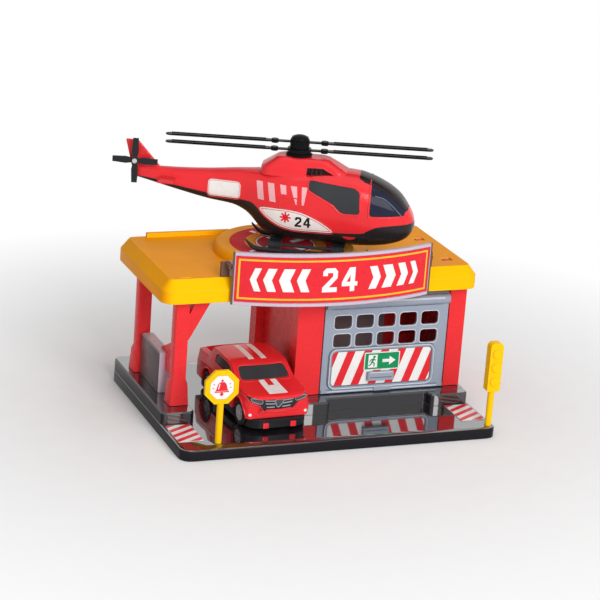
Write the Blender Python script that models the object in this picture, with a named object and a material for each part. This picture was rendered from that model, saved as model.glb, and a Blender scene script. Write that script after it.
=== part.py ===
# Toy fire station: a two-bay play building with a flap garage door, a helipad roof,
# a curved sign, a helicopter, a pickup car, an octagonal alarm sign and a traffic light.
# Metres, +Z up. The origin is the middle of the base's underside; -Y is the front.

import math

import bmesh
import bpy
from mathutils import Matrix, Vector

for old in list(bpy.data.objects):
    bpy.data.objects.remove(old, do_unlink=True)

# Clearances that every piece shares
seat_gap = 0.0003
label_gap = 0.0001
label_thickness = 0.0003
overrun = 0.002
sink = 0.001

# Base tray: a shell that is open underneath
base_width = 0.241
base_depth = 0.170
base_corner_radius = 0.008
base_wall = 0.002
base_edge = 0.0015
apron_height = 0.008
plinth_rise = 0.009
plinth_inset = 0.0008
plinth_edge = 0.001
plinth_front_setback = 0.057
podium_reach = 0.008
podium_corner_radius = 0.005
left_strip_width = 0.0255
left_podium_margin = 0.004
right_podium_margin = 0.0165
podium_step = 0.0001
centre_boss_radius = 0.007
socket_boss_radius = 0.0043

# Building walls
wall_thickness = 0.002
building_left = -0.0150
building_right_margin = 0.003
left_pilaster_width = 0.0200
right_pilaster_width = 0.0130
pilaster_depth = 0.012
pilaster_setback = 0.065
wall_recess = 0.0045
rear_pilaster_reach = 0.0017
building_back_margin = 0.013
foot_boss_size = 0.0085
foot_boss_height = 0.012

# Roof deck: a tray that is open underneath, with a raised helipad
roof_width = 0.243
roof_back_setback = 0.0025
roof_front_setback = 0.054
roof_clearance = 0.0793
roof_band_height = 0.009
roof_chamfer_height = 0.0077
roof_chamfer_reach = 0.006
roof_corner_radius = 0.010
roof_wall = 0.0022
wall_top_drop = 0.0010
pad_centre_x = -0.011
pad_margin = 0.00375
pad_flank = 0.003
pad_rise = 0.006
pad_label_border = 0.009
rail_height = 0.0033
rail_thickness = 0.0028
rail_setback = 0.0008
rail_start_inset = 0.0195
clip_slot_width = 0.008
clip_slot_depth = 0.007
clip_inset = 0.0173
clip_clearance = 0.0009
clip_front_setback = 0.022
clip_back_setback = 0.0415
column_slot_width = 0.009
column_slot_depth = 0.0018

# Columns and the low wall of the open bay
column_side = 0.010
column_boot_side = 0.0146
column_boot_height = 0.015
column_boot_taper = 0.004
column_inset = 0.0173
rear_column_inset = 0.0127
front_column_setback = 0.069
rear_column_setback = 0.030
brace_thickness = 0.0075
brace_reach = 0.0175
brace_drop = 0.031
brace_width = 0.0115
gusset_thickness = 0.006
gusset_rise = 0.013
gusset_toe = 0.010
low_wall_inset = 0.0143
low_wall_gap = 0.0125
low_wall_thickness = 0.0095
low_wall_height = 0.031
low_wall_shell = 0.0018

# Garage door: a flap panel that hangs from a tube
door_side_gap = 0.0009
door_height = 0.0704
door_panel_thickness = 0.0022
door_tube_radius = 0.0033
door_tube_overhang = 0.0003
door_roll_radius = 0.0039
door_roll_lead = 0.0032
door_roll_drop = 0.0017
door_panel_lead = 0.0035
door_floor_gap = 0.0006
door_header_gap = 0.0004
header_shelf = 0.006
door_stub_radius = 0.0015
door_stub_reach = 0.0015
stub_clearance = 0.0002
window_width = 0.0140
window_height = 0.0105
window_corner_radius = 0.0026
window_pitch_x = 0.0172
window_pitch_z = 0.0141
window_row_drop = 0.0160
window_columns = 5
window_rows = 2
door_frame_width = 0.0835
door_frame_height = 0.0310
door_frame_drop = 0.0519
door_frame_shift = 0.0015
door_frame_radius = 0.0055
door_frame_rim = 0.0017
door_frame_relief = 0.0010
door_ridge_height = 0.0028
door_ridge_relief = 0.0013
door_bump_width = 0.014
door_bump_relief = 0.0012
handle_width = 0.0202
handle_height = 0.0062
handle_shift = 0.0028
handle_reach = 0.0042
handle_drop = 0.0582
exit_label_width = 0.0282
exit_label_height = 0.0138
exit_label_rise = 0.0045

# Rear wall and its grey shutter
shutter_width = 0.083
shutter_height = 0.0675
shutter_sill = 0.003
shutter_left_margin = 0.0224
shutter_flange = 0.002
shutter_slats = 7
slat_relief = 0.0012
slat_share = 0.45

# Curved sign on the front of the roof
sign_width = 0.153
sign_height = 0.0385
sign_radius = 0.202
sign_thickness = 0.0030
sign_centre_x = 0.003
sign_reach = 0.018
sign_bottom_drop = 0.0008
sign_border = 0.0022
sign_recess = 0.0008
hook_height = 0.0107
hook_thickness = 0.0025
hook_arm_height = 0.003
hook_outset = 0.006
hook_width = 0.010
hook_root_width = 0.008
sign_segments = 22

# Octagonal alarm sign and traffic light, which stand in sockets in the apron
post_radius = 0.0024
socket_clearance = 0.0003
socket_depth = 0.006
alarm_x = -0.0905
alarm_front_inset = 0.012
alarm_height = 0.0413
alarm_flats = 0.0244
alarm_thickness = 0.0030
alarm_rim = 0.0034
alarm_recess = 0.0006
light_side_inset = 0.0050
light_front_inset = 0.0065
light_head_bottom = 0.0268
light_head_height = 0.0370
light_head_width = 0.0102
light_head_depth = 0.0065
lamp_radius = 0.0033
lamp_relief = 0.0012
lamp_pitch = 0.0106

# Hazard labels on the apron
apron_label_width = 0.0185
apron_label_length = 0.0310
apron_label_inset = 0.0012
apron_label_gap = 0.0015

# Screws that hold the uprights from under the base
screw_head_radius = 0.0028
screw_head_height = 0.0018
screw_shank_radius = 0.0013
screw_length = 0.009
screw_clearance = 0.0002

# Pickup car
car_lane_gap = 0.0027
car_setback = 0.072
car_turn = math.radians(2.5)
car_length = 0.102
car_front_overhang = 0.017
car_nose_push = 0.002
car_nose_bow = 0.0065
car_wheelbase = 0.060
car_width = 0.050
car_body_base = 0.009
car_body_height = 0.0292
car_shell = 0.0014
wheel_radius = 0.009
wheel_width = 0.0075
wheel_gap = 0.0006
wheel_hub_radius = 0.0056
wheel_hub_depth = 0.0008
wheel_bore_radius = 0.0012
arch_clearance = 0.0024
axle_radius = 0.0012
axle_clearance = 0.0002
chassis_width = 0.0470
chassis_height = 0.0065
chassis_clearance = 0.0022
chassis_spine_width = 0.030
bearing_length = 0.008
bearing_height = 0.0035
bed_width = 0.037
bed_length = 0.0150
bed_wall = 0.0030
bed_depth = 0.0100
pane_gap = 0.0002

# Helicopter: all places are counted from the point between its skids on the pad
heli_offset_x = 0.0026
heli_offset_y = -0.00765
heli_turn = math.radians(-26.5)
heli_nose = 0.087
heli_tail = 0.126
heli_half_width = 0.0225
heli_height = 0.0640
heli_shell = 0.0015
heli_part_gap = 0.0002
cowl_height = 0.0087
cowl_half_width = 0.0135
skid_track = 0.0430
skid_radius = 0.0018
skid_front = 0.047
skid_rear = 0.024
skid_tip_rise = 0.0065
skid_tip_length = 0.009
strut_front = 0.0343
strut_rear = -0.0115
strut_width = 0.0092
strut_thickness = 0.0022
step_height = 0.0064
step_radius = 0.0011
rotor_height = 0.0740
rotor_length = 0.0965
blade_width = 0.0062
blade_thickness = 0.0010
blade_root_width = 0.0042
blade_root_radius = 0.018
blade_rib = 0.0004
blade_rib_width = 0.0009
blade_turn_upper = math.radians(-20.0)
blade_turn_lower = math.radians(-20.6)
hub_radius = 0.0093
hub_ring_height = 0.0028
upper_hub_height = 0.0056
upper_blade_level = 0.0042
lower_ring_radius = 0.0086
upper_ring_radius = 0.0071
cap_radius = 0.0068
cap_height = 0.0036
mast_radius = 0.0016
mast_clearance = 0.00015
tail_rotor_radius = 0.0165
tail_rotor_hub_radius = 0.0028
tail_rotor_thickness = 0.0016
tail_blade_width = 0.0050
tail_blades = 4
tail_pin_radius = 0.0010
tail_boss_reach = 0.0054
tail_boss_radius = 0.0026
fin_thickness = 0.0030
fin_height = 0.030
stabiliser_span = 0.040
stabiliser_chord = 0.012
stabiliser_thickness = 0.0022

# Places that follow from the sizes above
base_front = -base_depth / 2
base_back = base_depth / 2
base_left = -base_width / 2
base_right = base_width / 2
building_right = base_right - building_right_margin
plinth_top = apron_height + plinth_rise
plinth_front = base_front + plinth_front_setback
podium_front = plinth_front - podium_reach
floor_top = plinth_top + seat_gap
building_front = base_front + pilaster_setback
building_back = base_back - building_back_margin
roof_front = base_front + roof_front_setback
roof_back = base_back - roof_back_setback
roof_depth = roof_back - roof_front
roof_centre_y = (roof_front + roof_back) / 2
roof_bottom = plinth_top + roof_clearance
roof_shoulder = roof_bottom + roof_band_height
roof_top = roof_shoulder + roof_chamfer_height
roof_ceiling = roof_top - roof_wall
wall_top = roof_shoulder - roof_wall - wall_top_drop
post_top = roof_ceiling - seat_gap
pad_top = roof_top + pad_rise
pad_foot_radius = roof_depth / 2 - pad_margin
pad_top_radius = pad_foot_radius - pad_flank
pad_label_radius = pad_top_radius - pad_label_border
column_x = base_left + column_inset
rear_column_x = base_left + rear_column_inset
low_wall_x = base_left + low_wall_inset
front_column_y = base_front + front_column_setback
rear_column_y = base_back - rear_column_setback
left_opening_edge = building_left + left_pilaster_width
right_opening_edge = building_right - right_pilaster_width
door_centre_x = (left_opening_edge + right_opening_edge) / 2
door_width = right_opening_edge - left_opening_edge - 2 * door_side_gap
door_axis_y = building_front + door_panel_lead
door_axis_z = floor_top - seat_gap + door_floor_gap + door_height
roof_front_top = roof_front + roof_chamfer_reach
car_x = building_left - car_lane_gap - car_width / 2
car_y = base_front + car_setback
heli_x = pad_centre_x + heli_offset_x
heli_y = roof_centre_y + heli_offset_y


def plastic(name, colour, roughness, metallic=0.0):
    """A moulded plastic or metal finish."""
    finish = bpy.data.materials.new(name)
    finish.use_nodes = True
    shader = finish.node_tree.nodes["Principled BSDF"]
    shader.inputs["Base Color"].default_value = (*colour, 1.0)
    shader.inputs["Roughness"].default_value = roughness
    shader.inputs["Metallic"].default_value = metallic
    return finish


def pivot(name, location, turn=0.0, parent=None):
    """An empty on a joint's axis that carries the pieces that move there."""
    empty = bpy.data.objects.new(name, None)
    empty.location = location
    empty.rotation_euler = (0.0, 0.0, turn)
    empty.parent = parent
    bpy.context.scene.collection.objects.link(empty)
    return empty


def is_warped(face):
    """Whether a face's corners don't all lie in one plane."""
    face.normal_update()
    first = face.verts[0].co
    return any(abs((vert.co - first).dot(face.normal)) > 1e-8 for vert in face.verts)


def finish_mesh(bm, name):
    warped = [face for face in bm.faces if is_warped(face)]
    bmesh.ops.triangulate(bm, faces=warped)
    bmesh.ops.remove_doubles(bm, verts=bm.verts, dist=1e-7)
    mesh = bpy.data.meshes.new(name)
    bm.to_mesh(mesh)
    bm.free()
    return mesh


def piece(name, bm, material, parent=None, smooth=False):
    """One sub-part: a named object with its own mesh and material."""
    mesh = finish_mesh(bm, name)
    if smooth:
        mesh.shade_smooth()
        mesh.set_sharp_from_angle(angle=math.radians(35))
    obj = bpy.data.objects.new(name, mesh)
    obj.parent = parent
    obj.data.materials.append(material)
    bpy.context.scene.collection.objects.link(obj)
    return obj


def combine(bm, tools, operation):
    """Join or cut a mesh with others, and give the result as a new mesh."""
    body = bpy.data.objects.new("body", finish_mesh(bm, "body"))
    bpy.context.scene.collection.objects.link(body)
    cutters = []
    for tool in tools:
        cutter = bpy.data.objects.new("tool", finish_mesh(tool, "tool"))
        bpy.context.scene.collection.objects.link(cutter)
        cutters.append(cutter)
        modifier = body.modifiers.new("join", "BOOLEAN")
        modifier.operation = operation
        modifier.solver = "EXACT"
        modifier.object = cutter
    evaluated = body.evaluated_get(bpy.context.evaluated_depsgraph_get())
    result = bmesh.new()
    result.from_mesh(evaluated.to_mesh())
    evaluated.to_mesh_clear()
    for used in (body, *cutters):
        bpy.data.objects.remove(used, do_unlink=True)
    return result


def join(bm, *tools):
    return combine(bm, tools, "UNION")


def cut(bm, *tools):
    return combine(bm, tools, "DIFFERENCE")


def keep_inside(bm, tool):
    return combine(bm, (tool,), "INTERSECT")


def offset_outline(outline, margin):
    """The outline pushed out by a margin, square to its sides."""
    area = sum(a[0] * b[1] - b[0] * a[1] for a, b in zip(outline, outline[1:] + outline[:1]))
    side = 1.0 if area > 0 else -1.0
    moved = []
    count = len(outline)
    for i, point in enumerate(outline):
        before = Vector(outline[i]) - Vector(outline[i - 1])
        after = Vector(outline[(i + 1) % count]) - Vector(outline[i])
        first = Vector((before.y, -before.x)).normalized() * side
        second = Vector((after.y, -after.x)).normalized() * side
        corner = (first + second) / max(1.0 + first.dot(second), 0.5)
        moved.append((point[0] + corner.x * margin, point[1] + corner.y * margin))
    return moved


def loft(rings):
    """A closed skin over rings of equal point counts, with flat ends."""
    bm = bmesh.new()
    rows = [[bm.verts.new(point) for point in ring] for ring in rings]
    count = len(rows[0])
    for lower, upper in zip(rows, rows[1:]):
        for i in range(count):
            j = (i + 1) % count
            bm.faces.new((lower[i], lower[j], upper[j], upper[i]))
    bm.faces.new(list(reversed(rows[0])))
    bm.faces.new(rows[-1])
    bmesh.ops.recalc_face_normals(bm, faces=bm.faces)
    return bm


def prism(outline, low, high, axis="Z"):
    """An outline pushed from low to high along an axis."""
    order = {"Z": lambda u, v, w: (u, v, w), "Y": lambda u, v, w: (u, w, v),
             "X": lambda u, v, w: (w, u, v)}[axis]
    return loft([[Vector(order(u, v, level)) for u, v in outline] for level in (low, high)])


def block(low, high):
    """A box between two corners."""
    outline = [(low[0], low[1]), (high[0], low[1]), (high[0], high[1]), (low[0], high[1])]
    return prism(outline, low[2], high[2])


def circle(radius, sides, centre=(0.0, 0.0)):
    turns = [2 * math.pi * i / sides for i in range(sides)]
    return [(centre[0] + radius * math.cos(t), centre[1] + radius * math.sin(t)) for t in turns]


def rod(radius, low, high, axis="Z", centre=(0.0, 0.0), sides=16):
    return prism(circle(radius, sides, centre), low, high, axis)


def turned(profile, sides, centre=(0.0, 0.0)):
    """A profile of (radius, height) turned about a vertical axis."""
    rings = []
    for radius, height in profile:
        ring = circle(max(radius, 1e-6), sides, centre)
        rings.append([Vector((x, y, height)) for x, y in ring])
    return loft(rings)


def rounded_rectangle(width, depth, radius, centre=(0.0, 0.0), steps=4):
    """Points of a rectangle with round corners, anticlockwise."""
    points = []
    for quarter, (sx, sy) in enumerate(((1, 1), (-1, 1), (-1, -1), (1, -1))):
        cx = centre[0] + sx * (width / 2 - radius)
        cy = centre[1] + sy * (depth / 2 - radius)
        for i in range(steps + 1):
            turn = math.pi / 2 * (quarter + i / steps)
            points.append((cx + radius * math.cos(turn), cy + radius * math.sin(turn)))
    return points


def rounded_slab(width, depth, radius, levels, centre=(0.0, 0.0), steps=4):
    """A slab with round corners whose levels are (height, inset)."""
    rings = []
    for height, inset in levels:
        outline = rounded_rectangle(width - 2 * inset, depth - 2 * inset, radius - inset, centre, steps)
        rings.append([Vector((x, y, height)) for x, y in outline])
    return loft(rings)


def slab_between(left, right, front, back, radius, levels, steps=4):
    """A rounded slab given by its four sides."""
    centre = ((left + right) / 2, (front + back) / 2)
    return rounded_slab(right - left, back - front, radius, levels, centre, steps)


# Finishes
black_gloss = plastic("black gloss plastic", (0.006, 0.006, 0.008), 0.08)
black_satin = plastic("black satin plastic", (0.012, 0.012, 0.014), 0.30)
red_gloss = plastic("red plastic", (0.72, 0.025, 0.03), 0.25)
yellow_gloss = plastic("yellow plastic", (1.0, 0.48, 0.01), 0.28)
grey_door = plastic("blue grey plastic", (0.33, 0.36, 0.42), 0.35)
grey_pale = plastic("pale grey plastic", (0.48, 0.45, 0.52), 0.35)
label_red = plastic("printed label", (0.80, 0.05, 0.06), 0.30)
label_white = plastic("white label", (0.85, 0.85, 0.85), 0.30)
label_green = plastic("green label", (0.01, 0.32, 0.12), 0.30)
dark_glazing = plastic("dark glazing", (0.035, 0.04, 0.045), 0.10)
hub_silver = plastic("silver plastic", (0.55, 0.55, 0.58), 0.30, 0.4)
steel = plastic("bright steel", (0.60, 0.60, 0.62), 0.25, 1.0)

# Uprights: where each one stands, for the screws that hold it
pilaster_mid_y = building_front + pilaster_depth / 2
rear_boss_y = building_back - wall_thickness - seat_gap - foot_boss_size / 2 - sink
upright_places = {
    "left_front": (building_left + wall_thickness / 2 + foot_boss_size / 2, pilaster_mid_y),
    "right_front": (building_right - wall_thickness / 2 - foot_boss_size / 2, pilaster_mid_y),
    "left_rear": (building_left + wall_recess + wall_thickness / 2 + foot_boss_size / 2, rear_boss_y),
    "right_rear": (building_right - wall_recess - wall_thickness / 2 - foot_boss_size / 2, rear_boss_y),
    "front_column": (column_x, front_column_y),
    "rear_column": (rear_column_x, rear_column_y),
}
alarm_place = (alarm_x, base_front + alarm_front_inset)
light_place = (base_right - light_side_inset, base_front + light_front_inset)
socket_floor = apron_height - socket_depth


def screw_hole(place, low, high):
    return rod(screw_shank_radius + screw_clearance, low, high, centre=place, sides=12)


def build_base():
    """The black tray: apron, plinth, podiums, ribs and sockets in one moulding."""
    tray = rounded_slab(base_width, base_depth, base_corner_radius,
                        [(0.0, 0.0), (apron_height - base_edge, 0.0),
                         (apron_height - base_edge / 3, base_edge / 3), (apron_height, base_edge)])
    rise = [(apron_height - sink, 0.0), (plinth_top - plinth_edge, 0.0), (plinth_top, plinth_edge)]
    outer_left = base_left + plinth_inset
    outer_right = base_right - plinth_inset
    outer_back = base_back - plinth_inset
    plinth_left = building_left - rear_pilaster_reach - plinth_edge
    strip_right = base_left + left_strip_width
    corner = podium_corner_radius
    tray = join(tray, slab_between(plinth_left, outer_right, plinth_front, outer_back, corner, rise))
    tray = join(tray, slab_between(outer_left, strip_right, podium_front, outer_back, corner, rise))
    podium_back = plinth_front + podium_reach * 2
    low_rise = [(height - podium_step * (height > apron_height), inset) for height, inset in rise]
    for left, right in ((building_left, left_opening_edge + left_podium_margin),
                        (right_opening_edge - right_podium_margin, outer_right - sink / 2)):
        tray = join(tray, slab_between(left, right, podium_front, podium_back, corner, low_rise))
    pockets = []
    rib = base_wall
    inner_corner = base_corner_radius - base_wall
    for sx in (-1, 1):
        for sy in (-1, 1):
            left, right = sorted((sx * rib / 2, sx * (base_width / 2 - base_wall)))
            front, back = sorted((sy * rib / 2, sy * (base_depth / 2 - base_wall)))
            pockets.append(slab_between(left, right, front, back, inner_corner,
                                        [(-overrun, 0.0), (apron_height - base_wall, 0.0)]))
    under = apron_height - base_wall - sink
    ceiling = plinth_top - base_wall
    hollow = [(under, 0.0), (ceiling, 0.0)]
    inner_corner = podium_corner_radius - base_wall
    pockets.append(slab_between(plinth_left + base_wall, outer_right - base_wall, plinth_front + base_wall,
                                outer_back - base_wall, inner_corner, hollow))
    pockets.append(slab_between(outer_left + base_wall, strip_right - base_wall, podium_front + base_wall,
                                outer_back - base_wall, inner_corner, hollow))
    tray = cut(tray, *pockets)
    boss_top = apron_height - base_wall / 2
    tray = join(tray, rod(centre_boss_radius, 0.0, boss_top, sides=24),
                rod(socket_boss_radius, 0.0, boss_top, centre=alarm_place, sides=20),
                rod(socket_boss_radius, 0.0, boss_top, centre=light_place, sides=20))
    bores = []
    for place in (alarm_place, light_place):
        bores.append(rod(post_radius + socket_clearance, socket_floor, apron_height + overrun,
                         centre=place, sides=20))
    for place in upright_places.values():
        bores.append(screw_hole(place, ceiling - overrun, plinth_top + overrun))
    tray = cut(tray, *bores)
    piece("base_tray", tray, black_gloss)


def build_screws():
    """Pan-head screws that come up through the plinth into the uprights."""
    head_top = plinth_top - base_wall - seat_gap
    head_bottom = head_top - screw_head_height
    tip = head_top + screw_length
    profile = [(screw_head_radius * 0.7, head_bottom),
               (screw_head_radius, head_bottom + screw_head_height / 2),
               (screw_head_radius, head_top), (screw_shank_radius, head_top),
               (screw_shank_radius, tip - screw_shank_radius), (0.0, tip)]
    for name, place in upright_places.items():
        piece("screw_" + name, turned(profile, 12, place), steel)


def foot_boss(place):
    """The block in an upright's foot that the screw bites into."""
    half = foot_boss_size / 2
    return block((place[0] - half, place[1] - half, floor_top),
                 (place[0] + half, place[1] + half, floor_top + foot_boss_height))


def foot_bore(place):
    return screw_hole(place, floor_top - overrun, floor_top + screw_length)


def side_wall_outline(outer, inner, inward):
    """Plan of a side wall: front pilaster, recessed wall and rear pilaster."""
    t = wall_thickness * inward
    plate = outer + wall_recess * inward
    rear_outer = outer - rear_pilaster_reach * inward
    front = building_front
    step = building_front + pilaster_depth
    rear = building_back - pilaster_depth
    return [(outer, front), (inner, front), (inner, step), (inner - t, step),
            (inner - t, front + wall_thickness), (outer + t, front + wall_thickness),
            (outer + t, step - wall_thickness), (plate + t, step - wall_thickness),
            (plate + t, rear + wall_thickness), (rear_outer + t, rear + wall_thickness),
            (rear_outer + t, building_back), (rear_outer, building_back), (rear_outer, rear),
            (plate, rear), (plate, step), (outer, step)]


def hinge_bore(edge, inward):
    """The bore in a pilaster's inner wall for one end of the door's tube."""
    left, right = sorted((edge + overrun * inward, edge - (wall_thickness + overrun) * inward))
    return rod(door_stub_radius + stub_clearance, left, right, "X", (door_axis_y, door_axis_z), 24)


def build_side_wall(name, outer, inner, inward, places, side):
    wall = prism(side_wall_outline(outer, inner, inward), floor_top, wall_top)
    wall = join(wall, *[foot_boss(place) for place in places])
    wall = cut(wall, hinge_bore(inner, inward), *[foot_bore(place) for place in places])
    plate = outer + wall_recess * inward
    thin = wall_thickness / 4
    if side < 0:
        left, right = plate + thin, plate + wall_thickness - thin
        crest = block((left, building_front + pilaster_depth, wall_top - overrun),
                      (right, building_back - pilaster_depth, post_top))
        wall = join(wall, crest)
    else:
        clip_x = base_right - clip_inset
        half_x = clip_slot_width / 2 - clip_clearance
        half_y = clip_slot_depth / 2 - clip_clearance
        for y in clip_rows:
            arm = block((clip_x - half_x, y - half_y, wall_top - clip_slot_width),
                        (plate - thin, y + half_y, wall_top))
            tab = block((clip_x - half_x + thin, y - half_y + thin, wall_top - overrun),
                        (clip_x + half_x - thin, y + half_y - thin, roof_top - seat_gap))
            wall = join(wall, arm, tab)
    piece(name, wall, red_gloss)


clip_rows = [roof_front + clip_front_setback, roof_back - clip_back_setback]


def build_rear_wall():
    """The back of the garage, with a grey shutter in its opening."""
    left = building_left - rear_pilaster_reach + wall_thickness + seat_gap
    right = building_right + rear_pilaster_reach - wall_thickness - seat_gap
    front = building_back - wall_thickness
    opening_left = left + shutter_left_margin
    opening_bottom = floor_top + shutter_sill
    opening_right = opening_left + shutter_width
    opening_top = opening_bottom + shutter_height
    wall = block((left, front, floor_top), (right, building_back, wall_top))
    hole = block((opening_left, front - overrun, opening_bottom),
                 (opening_right, building_back + overrun, opening_top))
    piece("rear_wall", cut(wall, hole), red_gloss)
    panel = block((opening_left + seat_gap, front - wall_thickness / 2, opening_bottom + seat_gap),
                  (opening_right - seat_gap, building_back, opening_top - seat_gap))
    flange = block((opening_left - shutter_flange, front - seat_gap - wall_thickness / 2,
                    opening_bottom - shutter_flange),
                   (opening_right + shutter_flange, front - seat_gap, opening_top + shutter_flange))
    slats = []
    pitch = (opening_top - opening_bottom) / shutter_slats
    for i in range(shutter_slats):
        middle = opening_bottom + pitch * (i + 0.5)
        slats.append(block((opening_left + shutter_flange, building_back - sink,
                            middle - pitch * slat_share / 2),
                           (opening_right - shutter_flange, building_back + slat_relief,
                            middle + pitch * slat_share / 2)))
    piece("rear_shutter", join(panel, flange, *slats), grey_door)


def build_door_header():
    """The red beam over the garage opening, above the door's tube."""
    left = left_opening_edge + seat_gap
    right = right_opening_edge - seat_gap
    roll_swing = math.hypot(door_roll_lead, door_roll_drop) + door_roll_radius
    bottom = door_axis_z + max(door_panel_lead, roll_swing) + door_header_gap
    beam = block((left, building_front, bottom), (right, building_front + wall_thickness, post_top))
    shelf = block((left, building_front + wall_thickness / 2, post_top - wall_thickness),
                  (right, building_front + header_shelf, post_top))
    piece("door_header", join(beam, shelf), red_gloss)


def column_shape(place):
    """A square post with a flared boot."""
    rings = []
    boot_top = floor_top + column_boot_height
    for height, side in ((floor_top, column_boot_side), (boot_top, column_boot_side - column_boot_taper / 2),
                         (boot_top + column_boot_taper, column_side), (post_top, column_side)):
        outline = rounded_rectangle(side, side, side / 8, place, 2)
        rings.append([Vector((x, y, height)) for x, y in outline])
    return loft(rings)


def build_columns():
    front_place = upright_places["front_column"]
    rear_place = upright_places["rear_column"]
    edge = column_x + column_side / 2
    brace_top = roof_bottom + roof_band_height - roof_wall
    low = roof_bottom - brace_drop
    outline = [(edge - sink, low), (edge + sink / 2, low), (edge + brace_reach, roof_bottom),
               (edge + brace_reach, brace_top), (edge + brace_reach - brace_width, brace_top),
               (edge + brace_reach - brace_width, roof_bottom), (edge + sink / 2, roof_bottom - brace_width),
               (edge - sink, roof_bottom - brace_width)]
    half = brace_thickness / 2
    brace = prism(outline, front_column_y - half, front_column_y + half, "Y")
    back = front_column_y + column_side / 2
    wall_front = low_wall_front - seat_gap
    wall_top_z = floor_top + low_wall_height + seat_gap
    toe = low_wall_front + gusset_toe
    side_outline = [(back - sink, wall_top_z + gusset_rise), (back, wall_top_z + gusset_rise),
                    (toe, wall_top_z + sink / 2), (toe, wall_top_z), (wall_front, wall_top_z),
                    (wall_front, wall_top_z - gusset_rise), (back - sink, wall_top_z - gusset_rise)]
    half = gusset_thickness / 2
    gusset = prism(side_outline, column_x - half, column_x + half, "X")
    column = join(column_shape(front_place), brace, gusset)
    piece("front_column", cut(column, foot_bore(front_place)), red_gloss)
    piece("rear_column", cut(column_shape(rear_place), foot_bore(rear_place)), red_gloss)


low_wall_front = front_column_y + column_boot_side / 2 + low_wall_gap
low_wall_back = rear_column_y - column_boot_side / 2 - seat_gap


def build_low_wall():
    """The grey wall between the two columns, open underneath."""
    half = low_wall_thickness / 2
    top = floor_top + low_wall_height
    edge = low_wall_shell / 2
    shell = slab_between(low_wall_x - half, low_wall_x + half, low_wall_front, low_wall_back, low_wall_shell,
                         [(floor_top, 0.0), (top - edge, 0.0), (top, edge)], 2)
    pocket = block((low_wall_x - half + low_wall_shell, low_wall_front + low_wall_shell, floor_top - overrun),
                   (low_wall_x + half - low_wall_shell, low_wall_back - low_wall_shell, top - low_wall_shell))
    piece("low_wall", cut(shell, pocket), grey_pale)


def build_roof():
    """The yellow tray with its chamfered fascia, helipad, rail and slots."""
    centre = (0.0, roof_centre_y)
    deck = rounded_slab(roof_width, roof_depth, roof_corner_radius,
                        [(roof_bottom, 0.0), (roof_shoulder, 0.0), (roof_top, roof_chamfer_reach)], centre, 5)
    pad_centre = (pad_centre_x, roof_centre_y)
    edge = pad_rise / 6
    pad = turned([(pad_foot_radius, roof_top - sink * 2), (pad_foot_radius, roof_top + edge),
                  (pad_top_radius + edge, pad_top - edge), (pad_top_radius, pad_top)], 56, pad_centre)
    rail_back = roof_back - roof_chamfer_reach - rail_setback
    rail = block((-roof_width / 2 + rail_start_inset, rail_back - rail_thickness, roof_top - sink),
                 (pad_centre_x - pad_foot_radius / 2, rail_back, roof_top + rail_height))
    deck = join(deck, pad, rail)
    inner_width = roof_width - 2 * roof_wall
    inner_depth = roof_depth - 2 * roof_wall
    inner = rounded_slab(inner_width, inner_depth, roof_corner_radius - roof_wall / 2,
                         [(roof_bottom - overrun, 0.0), (roof_shoulder - roof_wall / 3, 0.0),
                          (roof_ceiling, roof_chamfer_reach)], centre, 5)
    pad_pocket = rod(pad_top_radius - roof_wall, roof_ceiling - sink, pad_top - roof_wall,
                     centre=pad_centre, sides=40)
    cuts = [inner, pad_pocket]
    clip_x = base_right - clip_inset
    for y in clip_rows:
        cuts.append(block((clip_x - clip_slot_width / 2, y - clip_slot_depth / 2, roof_ceiling - overrun),
                          (clip_x + clip_slot_width / 2, y + clip_slot_depth / 2, roof_top + overrun)))
    slot_y = roof_front_top + column_slot_depth
    cuts.append(block((column_x - column_slot_width / 2, slot_y, roof_ceiling - overrun),
                      (column_x + column_slot_width / 2, slot_y + column_slot_depth, roof_top + overrun)))
    piece("roof_deck", cut(deck, *cuts), yellow_gloss, smooth=False)
    label_low = pad_top + label_gap
    label = rod(pad_label_radius, label_low, label_low + label_thickness, centre=pad_centre, sides=48)
    piece("helipad_label", label, label_red)


def arc_plate(radius_out, radius_in, half_angle, low, high, centre):
    """A plate bent round a vertical axis; its middle faces -Y."""
    outline = []
    for radius, ends in ((radius_out, (-1, 1)), (radius_in, (1, -1))):
        for i in range(sign_segments + 1):
            turn = half_angle * (ends[0] + (ends[1] - ends[0]) * i / sign_segments)
            outline.append((centre[0] + radius * math.sin(turn), centre[1] - radius * math.cos(turn)))
    return prism(outline, low, high)


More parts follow.
